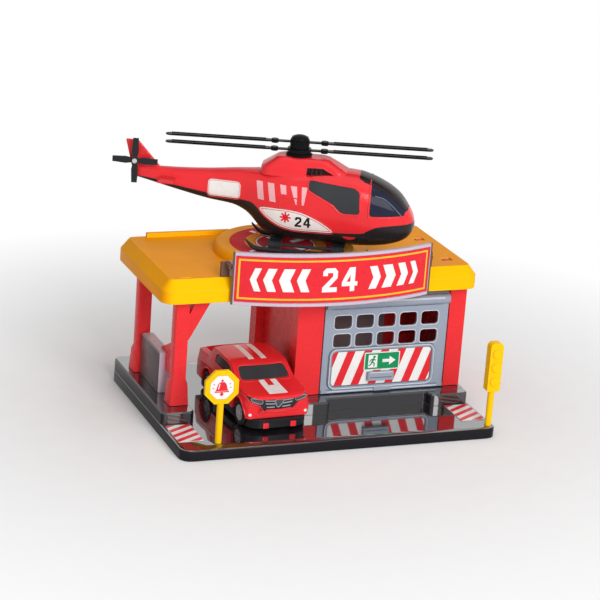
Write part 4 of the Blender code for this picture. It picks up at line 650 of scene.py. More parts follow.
def eased(table, place):
    """Read a table of stations anywhere along it, on a curve that never overshoots."""
    i = max(k for k in range(len(table) - 1) if k == 0 or table[k][0] <= place)
    wide = table[i + 1][0] - table[i][0]
    t = (place - table[i][0]) / wide
    values = []
    for column in range(1, len(table[0])):

        def slope(k):
            if k <= 0 or k >= len(table) - 1:
                k = min(max(k, 0), len(table) - 1)
                a, b = (k, k + 1) if k == 0 else (k - 1, k)
                return (table[b][column] - table[a][column]) / (table[b][0] - table[a][0])
            before = (table[k][column] - table[k - 1][column]) / (table[k][0] - table[k - 1][0])
            after = (table[k + 1][column] - table[k][column]) / (table[k + 1][0] - table[k][0])
            return 2 * before * after / (before + after) if before * after > 0 else 0.0

        a, b = table[i][column], table[i + 1][column]
        values.append((2 * t ** 3 - 3 * t ** 2 + 1) * a + (t ** 3 - 2 * t ** 2 + t) * wide * slope(i)
                      + (3 * t ** 2 - 2 * t ** 3) * b + (t ** 3 - t ** 2) * wide * slope(i + 1))
    return values


def smoothed(points, steps, closed=False):
    """Points on a smooth curve through the given ones."""
    count = len(points)
    made = []
    for i in range(count if closed else count - 1):
        before, a, b, after = (Vector(points[(i + k) % count if closed else min(max(i + k, 0), count - 1)])
                               for k in (-1, 0, 1, 2))
        for k in range(steps):
            t = k / steps
            made.append(((2 * a) + (b - before) * t + (2 * before - 5 * a + 4 * b - after) * t * t
                         + (3 * a - before - 3 * b + after) * t ** 3) / 2)
    if not closed:
        made.append(Vector(points[-1]))
    return made


def skin_over(rings):
    """A closed skin over rings of equal point counts."""
    bm = bmesh.new()
    rows = [[bm.verts.new(point) for point in ring] for ring in rings]
    count = len(rows[0])
    for lower, upper in zip(rows, rows[1:]):
        for i in range(count):
            j = (i + 1) % count
            bm.faces.new((lower[i], lower[j], upper[j], upper[i]))
    bm.faces.new(rows[0][::-1])
    bm.faces.new(rows[-1])
    bmesh.ops.recalc_face_normals(bm, faces=bm.faces)
    return bm


def pushed(outline, low, high, axis):
    """An outline pushed from low to high along an axis."""
    order = {"Z": lambda u, v, w: (u, v, w), "Y": lambda u, v, w: (u, w, v), "X": lambda u, v, w: (w, u, v)}[axis]
    return skin_over([[Vector(order(u, v, level)) for u, v in outline] for level in (low, high)])


def joined(bm, tools, operation):
    """Join, cut or intersect a solid with others."""
    helpers = []
    for source in [bm, *tools]:
        mesh = bpy.data.meshes.new("work")
        source.to_mesh(mesh)
        source.free()
        helpers.append(bpy.data.objects.new("work", mesh))
        bpy.context.scene.collection.objects.link(helpers[-1])
    for helper in helpers[1:]:
        step = helpers[0].modifiers.new("step", "BOOLEAN")
        step.operation = operation
        step.solver = "MANIFOLD"
        step.object = helper
    shape = helpers[0].evaluated_get(bpy.context.evaluated_depsgraph_get())
    result = bmesh.new()
    result.from_mesh(shape.to_mesh())
    shape.to_mesh_clear()
    for helper in helpers:
        mesh = helper.data
        bpy.data.objects.remove(helper)
        bpy.data.meshes.remove(mesh)
    return result


def grown(outline, margin):
    """An outline moved out by a margin, square to its sides."""
    way = 1.0 if area_of(outline) > 0 else -1.0
    made = []
    for i, point in enumerate(outline):
        before = Vector(point) - Vector(outline[i - 1])
        after = Vector(outline[(i + 1) % len(outline)]) - Vector(point)
        first = Vector((before.y, -before.x)).normalized() * way
        second = Vector((after.y, -after.x)).normalized() * way
        corner = (first + second) / max(1.0 + first.dot(second), 0.6)
        made.append((point[0] + corner.x * margin, point[1] + corner.y * margin))
    return made


def car_section(place, inset):
    top_share, waist_share, sill_share, waist_width, top_width = eased(car_stations, place)
    y = car_front + car_length * place
    y = min(max(y, car_front + inset), car_front + car_length - inset)
    top = car_base + car_height * top_share - inset
    waist = car_base + car_height * waist_share
    edge = 0.00153
    sill = car_half * sill_share - inset
    middle = car_half * waist_width - inset
    upper = car_half * top_width - inset
    crown = 0.00061
    right = [(sill - edge / 2, car_base), (sill, car_base + edge / 2), (middle, waist),
             (middle - edge / 3, waist + edge), (upper + edge * 0.4, top - edge), (upper - edge / 3, top - edge / 4),
             (upper * 0.55, top + crown * 0.7)]
    half = [*right, (0.0, top + crown), *[(-x, z) for x, z in reversed(right)]]
    fade = max(0.0, 1.0 - place / 0.25) ** 2
    return [Vector((p.x, y + fade * (car_bow * (p.x / car_half) ** 2 - car_push), p.y)) for p in smoothed(half, 5)]


def car_solid(inset=0.0):
    places = [0.5 - 0.5 * math.cos(math.pi * i / 110) for i in range(111)]
    if inset:
        places = places[6:-6]
    return skin_over([car_section(place, inset) for place in places])


def surface_of(bm):
    """What a print or a bead is laid on."""
    return BVHTree.FromBMesh(bm)


def across_car(shares):
    return [(car_half * u, car_base + car_height * v) for u, v in shares]


def along_car(shares):
    return [(car_front + car_length * u, car_base + car_height * v) for u, v in shares]


def car_y(share):
    return car_front + car_length * share


def fit_car(name, bm, finishes, stands_for=(), smooth=40, body="car"):
    fit(name, bm, finishes, body, stands_for, smooth, car_place)


pane_inset = 0.0003
pane_gap = 0.00015
arch_radius = 0.0114
axle_reach = 0.03
axle_level = 0.009
groove = 0.0004
shield_outline = across_car([(-0.75, 0.685), (0.75, 0.685), (0.7, 0.905), (-0.7, 0.905)])
back_outline = across_car([(-0.6, 0.7), (0.6, 0.7), (0.55, 0.9), (-0.55, 0.9)])
side_outline = along_car([(0.34, 0.67), (0.41, 0.86), (0.465, 0.905), (0.64, 0.905), (0.675, 0.83),
                          (0.675, 0.675)])
band_outline = across_car([(-0.92, 0.56), (-0.86, 0.44), (-0.6, 0.37), (-0.44, 0.19), (0.44, 0.19),
                           (0.6, 0.37), (0.86, 0.44), (0.92, 0.56), (0.55, 0.5), (0.0, 0.495), (-0.55, 0.5)])


def softened(outline, radius, steps=4):
    """Corners of an outline rounded off."""
    made = []
    for i, point in enumerate(outline):
        here = Vector(point)
        before = Vector(outline[i - 1]) - here
        after = Vector(outline[(i + 1) % len(outline)]) - here
        reach = min(radius, before.length * 0.45, after.length * 0.45)
        a = here + before.normalized() * reach
        b = here + after.normalized() * reach
        for k in range(steps + 1):
            t = k / steps
            p = a * (1 - t) ** 2 + here * 2 * t * (1 - t) + b * t * t
            made.append((p.x, p.y))
    return made


car_windows = [
    ("shield", softened(shield_outline, 0.0022), car_y(0.255), car_y(0.445), "Y"),
    ("back", softened(back_outline, 0.0016), car_y(0.72), car_y(0.84), "Y"),
    ("left", softened(side_outline, 0.0016), -car_half - 0.002, -car_half / 3, "X"),
    ("right", softened(side_outline, 0.0016), car_half / 3, car_half + 0.002, "X"),
    ("band", softened(band_outline, 0.0012), car_front - 0.004, car_y(0.115), "Y")]

car_red = moulded("red_car_plastic", (0.8, 0.022, 0.03), 0.14, grain=0.15, painted_edge_highlight=0.34, dust=0.02, density=1.3)
car_skin = car_solid()
car_surface = surface_of(car_skin)
arches = [pushed(ring_points(arch_radius, 48, (y, axle_level)), side * 0.014, side * 0.03, "X")
          for y in (-axle_reach, axle_reach) for side in (-1, 1)]
bed_floor = car_base + car_height * 0.71 - 0.01
bed = pushed(rounded(0.037, 0.015, 0.0015, (0.0, car_front + car_length - 0.0105)), bed_floor, bed_floor + 0.02, "Z")
door_gaps = [pushed(bar(start, end, groove), *sorted((side * (car_half - 0.0007), side * (car_half + 0.002))), "X")
             for side in (-1, 1)
             for start, end in (((-0.014, 0.0125), (-0.014, 0.0275)), ((0.024, 0.0195), (0.024, 0.029)),
                                ((-0.014, 0.0125), (0.0165, 0.0125)))]
window_cuts = [pushed(grown(outline, pane_gap), low - pane_gap, high + pane_gap, axis)
               for name, outline, low, high, axis in car_windows]
car_shell = joined(car_skin, [*arches, bed, *window_cuts], "DIFFERENCE")
fit_car("car_shell", joined(car_shell, door_gaps, "DIFFERENCE"), [car_red], ["car_body"], 38)

# Pickup glazing and front band. Smoke-dark plastic panes pressed in from inside, a fraction
# below the shell, and one dark band that holds both headlamps and the silver slats.

car_glass = moulded("smoke_glazing", (0.04, 0.046, 0.052), 0.12, drift=0.12, grain=0.1, painted_edge_highlight=0.1, dust=0.02)
band_black = moulded("front_band_plastic", (0.034, 0.04, 0.046), 0.22, grain=0.4, painted_edge_highlight=0.2)


def gather(parts):
    """Several shapes as one mesh."""
    whole = bmesh.new()
    for part in parts:
        mesh = bpy.data.meshes.new("part")
        part.to_mesh(mesh)
        part.free()
        whole.from_mesh(mesh)
        bpy.data.meshes.remove(mesh)
    return whole


*panes, band = [joined(car_solid(pane_inset), [pushed(outline, low, high, axis)], "INTERSECT")
                for name, outline, low, high, axis in car_windows]
band_surface = surface_of(band)
fit_car("car_front_band", band, [band_black], ["car_grille"], 35)
fit_car("car_panes", gather(panes), [car_glass],
        ["car_windshield", "car_rear_window", "car_window_left", "car_window_right"], 35)


def cast(surface, origin, aim):
    """Where a line meets a surface, and the surface's direction there."""
    spot, facing = surface.ray_cast(origin, aim, 1.0)[:2]
    return (spot, facing if facing.dot(aim) < 0 else -facing) if spot else (None, None)


def lay_on(bm, outlines, index, surface, origin_of, aim, lift, step):
    """Prints or low plates laid on a curved surface, in small tiles."""
    for outline in outlines:
        sheet = cut_flat(outline, None, step, step)
        placed = {}
        for vert in sheet.verts:
            spot, facing = cast(surface, origin_of(vert.co.x, vert.co.y), aim)
            if spot:
                placed[vert] = bm.verts.new(spot + facing * lift)
        for face in sheet.faces:
            if all(vert in placed for vert in face.verts):
                made = bm.faces.new([placed[vert] for vert in face.verts])
                made.normal_update()
                made.material_index = index
                if made.normal.dot(aim) > 0:
                    made.normal_flip()
        sheet.free()


def bead_on(bm, path, index, surface, origin_of, aim, radius, closed=True, proud=0.2):
    """A moulded bead that follows a surface."""
    spots, facings = [], []
    for u, v in path:
        spot, facing = cast(surface, origin_of(u, v), aim)
        if spot:
            spots.append(spot + facing * radius * proud)
            facings.append(facing)
    tube_along(bm, spots, radius, closed, 8, facings, index)


ray_start = 0.2
car_tile = 0.002


def from_front(u, v):
    return Vector((u, -ray_start, v))


def from_above(u, v):
    return Vector((u, v, ray_start))


back_way = Vector((0.0, 1.0, 0.0))
down_way = Vector((0.0, 0.0, -1.0))

# Pickup trim. Silver-painted slats and lamp rings, beads round the panes and arches, two white
# roof stripes, the white bonnet panel with a plain red bar, and red tow tabs under the bumper.

silver = moulded("silver_paint", (0.36, 0.37, 0.4), 0.24, drift=0.1, rub=0.12, grain=0.4, painted_edge_highlight=0.4)
lamp_grey = moulded("lamp_smoke_plastic", (0.085, 0.095, 0.105), 0.12, drift=0.12, grain=0.1, painted_edge_highlight=0.2)
slats = bmesh.new()


def slat_bead(path, radius, closed=True):
    bead_on(slats, path, 0, band_surface, from_front, back_way, radius, closed, 0.4)


def slat_plate(outline, lift):
    lay_on(slats, [outline], 1, band_surface, from_front, back_way, lift, car_tile)


slat_start = 0.003
for level, half in ((0.0222, 0.011), (0.0198, 0.0104), (0.0169, 0.0092)):
    for side in (-1, 1):
        slat_bead([(side * (slat_start + (half - slat_start) * i / 8), level + 0.0005 * (i / 8) ** 2)
                   for i in range(9)], 0.0005, False)
badge = [(-0.003, 0.0228), (0.0, 0.0231), (0.003, 0.0228), (0.0022, 0.0192), (0.0, 0.0165), (-0.0022, 0.0192)]
slat_bead(smoothed(badge, 4, True), 0.0004)
slat_plate(grown(badge, -0.0004), 0.0002)
for side in (-1, 1):
    lamp = [(side * x, z) for x, z in ((0.0134, 0.0234), (0.0205, 0.0243), (0.0206, 0.0226), (0.0182, 0.0214),
                                       (0.0138, 0.0205))]
    slat_bead(smoothed(lamp, 4, True), 0.0003)
    slat_plate(softened(grown(lamp, -0.0004), 0.0006), 0.0001)
bmesh.ops.recalc_face_normals(slats, faces=slats.faces)
fit_car("car_slats", slats, [silver, lamp_grey])

trim = bmesh.new()


def trim_bead(path, radius, side=0, closed=True, proud=0.2):
    """A bead on the pickup's front, or on one of its sides."""
    origin_of = (lambda u, v: Vector((side * ray_start, u, v))) if side else from_front
    aim = Vector((-side, 0.0, 0.0)) if side else back_way
    bead_on(trim, path, 0, car_surface, origin_of, aim, radius, closed, proud)


for name, outline, low, high, axis in car_windows:
    if name != "back":
        trim_bead(grown(outline, 0.0006), 0.00035, {"left": -1, "right": 1}.get(name, 0))
lip_radius = arch_radius + 0.0006
for side in (-1, 1):
    for y in (-axle_reach, axle_reach):
        path = [(y + lip_radius * math.cos(t), axle_level + lip_radius * math.sin(t))
                for t in (math.radians(12 + 156 * i / 26) for i in range(27))]
        trim_bead(path, 0.0006, side, False, 0.1)
    trim_bead([(-0.039 + 0.086 * i / 30, 0.0238 + 0.0008 * i / 30) for i in range(31)], 0.0004, side, False, -0.1)
    trim_bead([(0.0095, 0.0268), (0.013, 0.027)], 0.0007, side, False, 0.5)
for half, level, swell in ((0.015, 0.0131, 0.0007), (0.01, 0.0146, 0.0003)):
    path = [(half * (i / 12 - 1), level + swell * (1 - math.cos(math.pi * (i / 12 - 1)))) for i in range(25)]
    trim_bead(path, 0.0006, closed=False, proud=0.3)
bmesh.ops.recalc_face_normals(trim, faces=trim.faces)
fit_car("car_trim_beads", trim, [car_red])

car_prints = bmesh.new()
roof_back_y = 0.027
shield_top_y = -0.0025
stripe_half = 0.0021
on_top = [(0, [(middle - stripe_half, shield_top_y), (middle + stripe_half, shield_top_y),
               (middle + stripe_half, roof_back_y), (middle - stripe_half, roof_back_y)], 0.00005)
          for middle in (-0.0048, 0.0048)]
on_top.append((0, softened([(-0.0071, -0.0438), (0.0071, -0.0438), (0.0067, -0.0212), (-0.0067, -0.0212)], 0.0012),
               0.00005))
on_top.append((1, softened([(-0.0023, -0.03), (0.0023, -0.03), (0.0022, -0.021), (-0.0022, -0.021)], 0.0004),
               0.0001))
for ink, outline, lift in on_top:
    lay_on(car_prints, [outline], ink, car_surface, from_above, down_way, lift, car_tile)
for side in (-1, 1):
    lay_on(car_prints, [ring_points(0.0011, 20, (side * 0.0214, 0.0122))], 0, car_surface, from_front, back_way,
           0.00015, 0.001)
fit_car("car_prints", car_prints, [ink_white, ink_red])


def rounded_block(width, depth, height, centre, radius, steps=2):
    """A small block with rounded edges."""
    bm = bmesh.new()
    bmesh.ops.create_cube(bm, size=1.0)
    bmesh.ops.scale(bm, vec=(width, depth, height), verts=bm.verts)
    bmesh.ops.bevel(bm, geom=list(bm.edges), offset=radius, segments=steps, affect="EDGES", profile=0.5)
    bmesh.ops.translate(bm, vec=centre, verts=bm.verts)
    return bm

tabs = gather([rounded_block(0.0044, 0.0018, 0.004, (side * 0.0105, -0.0483, 0.0047), 0.0005) for side in (-1, 1)])
fit_car("car_tow_tabs", tabs, [car_red], smooth=35)

chassis_black = moulded("black_chassis_plastic", (0.012, 0.012, 0.014), 0.32, rub=0.14, grain=0.6, painted_edge_highlight=0.12)
dress(chassis_black, "car_chassis")

# Pickup wheels. Soft black tyres with grooved treads on pale grey six-spoke rims, pressed on
# the ends of steel axles.

tyre_rubber = moulded("tyre_rubber", (0.018, 0.018, 0.02), 0.48, rub=0.16, grain=0.8, painted_edge_highlight=0.1, dust=0.1)
rim_grey = moulded("wheel_rim_plastic", (0.5, 0.5, 0.53), 0.24, rub=0.14, grain=0.3, painted_edge_highlight=0.4)
wheel_outer = 0.0244


def lathe(profile, count, axis_place):
    """A profile of (reach along the axis, radius) turned round the X axis."""
    return skin_over([[axis_place @ Vector((x, radius * math.cos(t), radius * math.sin(t)))
                       for t in (math.tau * i / count for i in range(count))] for x, radius in profile])


edge_radius = 0.009
groove_radius = 0.00845
tyre_profile = [(-0.0075, 0.0058), (-0.0074, 0.0078), (-0.0068, 0.0087), (-0.0058, edge_radius)]
for middle in (-0.0048, -0.0036, -0.0024):
    tyre_profile += [(middle - 0.0003, edge_radius), (middle - 0.0002, groove_radius),
                     (middle + 0.0002, groove_radius), (middle + 0.0003, edge_radius)]
tyre_profile += [(-0.0014, edge_radius), (-0.0006, 0.0087), (-0.0001, 0.0079), (0.0, 0.007), (-0.0003, 0.0062),
                 (-0.0012, 0.0058), (-0.0022, 0.0056), (-0.0024, 0.001)]
for end, y in (("front", -axle_reach), ("rear", axle_reach)):
    for hand, side in (("left", -1), ("right", 1)):
        hub = Matrix.Translation((side * wheel_outer, y, axle_level)) @ Matrix.Scale(side, 4, (1.0, 0.0, 0.0))
        body = "car_%s_wheels" % end
        name = "car_%s_%s" % (end, hand)
        fit_car(name + "_tread", lathe(tyre_profile, 56, hub), [tyre_rubber], [name + "_tyre"],
                body=body)
        rim = [lathe([(-0.002, 0.0056), (-0.0006, 0.0056), (-0.0005, 0.005), (-0.0019, 0.0048)], 48, hub),
               lathe([(-0.002, 0.0016), (-0.0006, 0.0015), (-0.0002, 0.0011), (-0.0002, 0.0004)], 24, hub)]
        for inner, outer in zip(ring_points(0.001, 6), ring_points(0.0052, 6)):
            spoke = pushed(bar(inner, outer, 0.0013), -0.0018, -0.0008, "X")
            spoke.transform(hub)
            bmesh.ops.recalc_face_normals(spoke, faces=spoke.faces)
            rim.append(spoke)
        fit_car(name + "_rim", gather(rim), [rim_grey], [name + "_cap"], 35, body)

# Helicopter shells. The upper half is the wall's red plastic and carries the cowl, boom, fin and
# stabiliser; the belly is satin black. They part along a curved line, with dark panes let in
# and a nose frame over the windscreen.

heli_place = Matrix.Translation((-0.0084, 0.0181, 0.1197)) @ Matrix.Rotation(math.radians(-26.5), 4, "Z")
heli_nose = 0.087
heli_tail = 0.126
heli_height = 0.064
heli_half = 0.0225
heli_stations = sorted([
    (1.0, 0.425, 0.375, 0.1), (0.985, 0.49, 0.315, 0.34), (0.94, 0.6, 0.235, 0.58),
    (0.86, 0.73, 0.18, 0.78), (0.75, 0.83, 0.14, 0.9), (0.62, 0.905, 0.118, 0.97),
    (0.5, 0.945, 0.11, 1.0), (0.35, 0.955, 0.11, 1.0),
    (0.15, 0.94, 0.112, 1.0), (0.0, 0.925, 0.118, 0.99), (-0.09, 0.905, 0.125, 0.93),
    (-0.145, 0.89, 0.15, 0.84), (-0.195, 0.88, 0.215, 0.72), (-0.24, 0.873, 0.31, 0.6),
    (-0.285, 0.867, 0.38, 0.48), (-0.36, 0.855, 0.44, 0.38), (-0.5, 0.825, 0.475, 0.32),
    (-0.68, 0.8, 0.545, 0.26), (-0.85, 0.79, 0.62, 0.2), (-0.93, 0.785, 0.655, 0.16)])


def heli_x(share):
    return share * (heli_nose if share > 0 else heli_tail)


def from_side(shares):
    return [(heli_x(x), heli_height * z) for x, z in shares]


def heli_section(share, inset):
    top_share, bottom_share, width_share = eased(heli_stations, share)
    top = heli_height * top_share - inset
    bottom = heli_height * bottom_share + inset
    half = max(heli_half * width_share - inset, 0.0004)
    middle, rise = (top + bottom) / 2, (top - bottom) / 2
    ring = []
    for i in range(88):
        c, s = math.cos(math.tau * (i + 0.5) / 88), math.sin(math.tau * (i + 0.5) / 88)
        ring.append(Vector((heli_x(share), half * math.copysign(abs(c) ** (2 / 2.7), c),
                            middle + rise * math.copysign(abs(s) ** (2 / 2.7), s))))
    return ring


def fuselage(inset=0.0):
    shares = [math.cos(math.pi / 2 * i / 44) for i in range(44)] + [-0.93 * i / 46 for i in range(47)]
    if inset > 0:
        shares = shares[3:-2]
    return skin_over([heli_section(share, inset) for share in shares])


def cowling():
    """The engine cover on the cabin's roof, narrower towards its top."""
    half_width = 0.0135
    seat = heli_height * 0.935
    rise = 0.0087
    top_narrow = 0.62

    def ring(low_x, high_x, half, height):
        outline = rounded(high_x - low_x, 2 * half, half * 0.6, ((low_x + high_x) / 2, 0.0), 8)
        return [Vector((x, y, height)) for x, y in outline]

    rings = []
    for i in range(12):
        level = i / 12
        narrow = eased([(0.0, 1.0), (0.55, 0.86), (1.0, top_narrow)], level)[0]
        rings.append(ring(heli_x(-0.215 + 0.1 * level), heli_x(0.43 - 0.18 * level), half_width * narrow,
                          heli_height * 0.86 if i == 0 else seat + rise * level))
    rings.append(ring(heli_x(-0.115) + 0.0012, heli_x(0.25) - 0.0012, half_width * top_narrow - 0.001, seat + rise))
    return skin_over(rings)


parting = [tuple(p) for p in smoothed(from_side([
    (1.1, 0.44), (0.97, 0.435), (0.85, 0.43), (0.7, 0.4), (0.62, 0.345), (0.56, 0.31), (0.28, 0.29),
    (0.09, 0.292), (-0.07, 0.322), (-0.14, 0.375), (-0.195, 0.455), (-0.24, 0.52), (-0.29, 0.53),
    (-0.4, 0.54), (-0.52, 0.565), (-0.7, 0.61), (-0.86, 0.665), (-1.1, 0.68)]), 5)]
windscreen = softened(from_side([
    (0.53, 1.1), (0.575, 0.965), (0.632, 0.9), (0.632, 0.545), (0.65, 0.525), (0.93, 0.545), (0.985, 0.44),
    (1.1, 0.45), (1.1, 1.1)]), 0.001)
cabin_pane = softened(from_side([
    (0.115, 0.86), (0.49, 0.82), (0.535, 0.78), (0.545, 0.565), (0.535, 0.54), (0.405, 0.535), (0.365, 0.575),
    (0.333, 0.625), (0.12, 0.76)]), 0.002)
vent = softened([(0.0076, 0.0628), (0.0188, 0.063), (0.0272, 0.059), (0.0069, 0.0568)], 0.0008)
heli_red = moulded("red_helicopter_plastic", (0.8, 0.026, 0.034), 0.17, grain=0.2, painted_edge_highlight=0.3, dust=0.02,
                   density=1.3)
belly_black = moulded("black_belly_plastic", (0.016, 0.014, 0.015), 0.26, drift=0.1, grain=0.5, painted_edge_highlight=0.14,
                      dust=0.02, density=1.3)
screen_dark = moulded("windscreen_plastic", (0.018, 0.02, 0.042), 0.08, drift=0.15, rub=0.05, grain=0.05,
                      painted_edge_highlight=0.15, density=1.18)
frame_black = moulded("nose_frame_plastic", (0.02, 0.012, 0.012), 0.2, drift=0.12, grain=0.4, painted_edge_highlight=0.12)
pane_grey = moulded("cabin_pane_plastic", (0.044, 0.046, 0.05), 0.13, drift=0.1, grain=0.1, painted_edge_highlight=0.15,
                    density=1.15)

heli_skin = fuselage()
heli_surface = surface_of(heli_skin)
cowl = cowling()
cowl_surface = surface_of(cowl)
far_reach = 0.03
pane_depth = 0.0076
screen_inset = 0.0003


def half_space(keep_above, gap):
    line = [(x, z + gap) for x, z in parting]
    far = -0.05 if keep_above else 0.2
    return through(line + [(line[-1][0], far), (line[0][0], far)])


def through(outline, low=-far_reach, high=far_reach):
    """An outline pushed across the helicopter, from side to side or between two depths."""
    return pushed(outline, low, high, "Y")


def bevelled(outline, half, radius):
    """A flat blade with rounded edges."""
    bm = through(outline, -half, half)
    bmesh.ops.bevel(bm, geom=list(bm.edges), offset=radius, segments=3, affect="EDGES", profile=0.5)
    return bm


def fit_heli(name, bm, finishes, stands_for=(), smooth=38):
    fit("helicopter_" + name, bm, finishes, "helicopter", stands_for, smooth, heli_place)


upper = joined(heli_skin.copy(), [cowl], "UNION")
upper = joined(upper, [half_space(True, 0.0001)], "DIFFERENCE")
fin = bevelled([(-0.097, 0.0472), (-0.1203, 0.0472), (-0.126, 0.0689), (-0.1172, 0.0689)], 0.0015, 0.0007)
wing = rounded_block(0.012, 0.04, 0.0022, (-0.09324, 0.0, 0.04416), 0.0009, 3)
mast_seat = pushed(ring_points(0.0058, 32), 0.056, 0.069, "Z")
tail_boss = through(ring_points(0.0026, 24, (-0.11781, 0.05508)), -0.0054, 0.0)
upper = joined(upper, [fin, wing, mast_seat, tail_boss], "UNION")
pane_hole = grown(cabin_pane, pane_gap)
cuts = [through(grown(windscreen, pane_gap)), through(pane_hole, high=-0.0075), through(pane_hole, 0.0075),
        through(vent, high=-0.0098), through(vent, 0.0098)]
door_line = bar((0.0497, 0.0565), (0.0497 + 0.003, 0.019), 0.0004)
for side in (-1, 1):
    cuts.append(through(door_line, *sorted((side * 0.0218, side * far_reach))))
fit_heli("upper", joined(upper, cuts, "DIFFERENCE"), [heli_red], ["heli_upper_shell"])

strut_half = 0.0049
strut_top = 0.00805
strut_seats = [through([(x - strut_half, -0.002), (x + strut_half, -0.002), (x + strut_half, strut_top),
                        (x - strut_half, strut_top)]) for x in (-0.0115, 0.0343)]
belly = joined(heli_skin.copy(), [half_space(False, -0.0001), *strut_seats], "DIFFERENCE")
fit_heli("belly", belly, [belly_black], ["heli_lower_shell"])
nose_top = [(0.0455, 0.064), (0.0455, 0.0585), (0.05, 0.0562), (0.0545, 0.0548), (0.062, 0.0515),
            (0.0696, 0.047), (0.0754, 0.0426), (0.079, 0.0388), (0.0812, 0.0378), (0.0826, 0.046),
            (0.0826, 0.064)]
nose_front = [(0.079, 0.0335), (0.08, 0.0366), (0.0818, 0.0374), (0.083, 0.046), (0.092, 0.046),
              (0.092, 0.0284), (0.085, 0.0282), (0.081, 0.03)]
for name, inset, tool, finish, slot, stands_for in (
        ("windscreen", screen_inset, through(windscreen), screen_dark, "dark_glazing", ["heli_windshield"]),
        ("pane_near", screen_inset, through(cabin_pane, high=-pane_depth), pane_grey, "dark_glazing",
         ["heli_window_near"]),
        ("pane_far", screen_inset, through(cabin_pane, pane_depth), pane_grey, "dark_glazing", ["heli_window_far"]),
        ("nose_frame", -0.0001, through(nose_top), frame_black, "black_satin", ()),
        ("nose_band", -0.00012, through(nose_front), heli_red, "red_plastic", ())):
    fit_heli(name, joined(fuselage(inset), [tool], "INTERSECT"), [finish], stands_for)
inserts = gather([through(grown(vent, -0.0002), *sorted((side * 0.0097, side * 0.0102))) for side in (-1, 1)])
fit_heli("vents", inserts, [frame_black])

# Helicopter trim and prints. Beads round the panes and panels are moulded in; the white leaf,
# the slanted stripes and the boom panel are film on both sides.

heli_trim = bmesh.new()
heli_prints = bmesh.new()
dark_trim = bmesh.new()
leaf = [tuple(p) for p in smoothed([(-0.0244, 0.0311), (-0.01, 0.033), (0.0026, 0.0325), (0.012, 0.0299),
                                    (0.0224, 0.0249), (0.0291, 0.0191), (0.0162, 0.0182), (-0.0006, 0.0183),
                                    (-0.0134, 0.0222)], 6, True)]
slanted = [[(-0.0282, 0.0502), (-0.0236, 0.0502), (-0.0215, 0.0375), (-0.0261, 0.0375)],
           [(-0.0198, 0.0502), (-0.015, 0.0502), (-0.0127, 0.0375), (-0.0172, 0.0375)],
           [(-0.0107, 0.0502), (-0.0062, 0.0502), (-0.0053, 0.044), (-0.0091, 0.044)],
           [(-0.0029, 0.0502), (0.0017, 0.0502), (0.0033, 0.0375), (0.0019, 0.0375)],
           [(0.0053, 0.0502), (0.0094, 0.0502), (0.0077, 0.0375), (0.0062, 0.0375)]]
boom_panel = rounded(0.0239, 0.0125, 0.0028, (-0.0518, 0.0405))
star = Vector((-0.005, 0.0273))
star_arm = 0.004
number_x = 0.0078
screen_edge = smoothed([(0.0538, 0.0572), (0.054, 0.045), (0.0542, 0.0345), (0.056, 0.0328), (0.069, 0.0334),
                        (0.08, 0.0341)], 6)
arc = smoothed([(0.0577, 0.0482), (0.0646, 0.0463), (0.0716, 0.0409), (0.0779, 0.0343)], 7)
lens_width = 0.0088
heli_ray_start = 0.1
heli_tile = 0.0016
for side in (-1, 1):
    aim = Vector((0.0, -side, 0.0))

    def from_this_side(u, v, side=side):
        return Vector((u, side * heli_ray_start, v))

    def lay(shapes, ink, lift, bm=heli_prints):
        lay_on(bm, shapes, ink, heli_surface, from_this_side, aim, lift, heli_tile)

    def bead(path, radius, closed=True, proud=0.2, bm=heli_trim, index=0, surface=heli_surface):
        bead_on(bm, path, index, surface, from_this_side, aim, radius, closed, proud)

    lay([leaf], 0, 0.00006)
    lay(between(grown(leaf, -0.0009), grown(leaf, -0.0013)), 1, 0.0001)
    for i in range(4):
        reach = Vector((math.cos(math.pi * i / 4), math.sin(math.pi * i / 4)))
        lay([bar(star - reach * star_arm, star + reach * star_arm, 0.0013)], 1, 0.0001 + 0.00001 * i)
    lay([ring_points(0.0021, 20, tuple(star))], 1, 0.00016)
    figures = number(0.0076, (number_x, 0.0248))
    if side > 0:
        figures = [[(2 * number_x - x, z) for x, z in shape] for shape in figures]
    lay(figures, 2, 0.0001)
    lay(slanted, 3, 0.00006)
    lay([boom_panel], 0, 0.00006)
    lay(between(grown(boom_panel, -0.0006), grown(boom_panel, -0.0009)), 1, 0.0001)
    bead(grown(cabin_pane, 0.0008), 0.00045)
    bead(grown(leaf, 0.0009), 0.0003)
    bead(grown(boom_panel, 0.0008), 0.0003)
    bead(rounded(0.0128, 0.0085, 0.0012, (-0.0034, 0.0378)), 0.0004)
    bead(grown(vent, 0.0005), 0.0003, surface=cowl_surface)
    bead(screen_edge, 0.0005, False)
    for x in (0.0108, 0.014, 0.0172):
        bead([(x, 0.0575), (x + 0.0006, 0.0625)], 0.0005, False, -1.2, dark_trim, surface=cowl_surface)
    for middle, level in ((-0.0533, 0.028), (0.0415, 0.0158)):
        lens = [(middle - lens_width / 2 + lens_width * i / 12, level + 0.0011) for i in range(13)]
        lens += [(middle + lens_width / 2 - lens_width * i / 12, level - 0.0016 * math.sin(math.pi * i / 12))
                 for i in range(13)]
        lay([lens], 0, 0.0002, heli_trim)
    bead(arc, 0.0005, False, -0.2, dark_trim, 1)
fit_heli("trim", heli_trim, [heli_red], smooth=40)
# The ridge across the windscreen is moulded; its paler blue-grey is a painted highlight.
ridge_highlight_grey = moulded("windscreen_ridge_painted_highlight", (0.1, 0.13, 0.17), 0.12, rub=0.08, grain=0.1)
fit_heli("dark_trim", dark_trim, [belly_black, ridge_highlight_grey], smooth=40)
fit_heli("prints", heli_prints, [ink_white, ink_red, ink_black, ink_rose], smooth=40)
heli_skin.free()

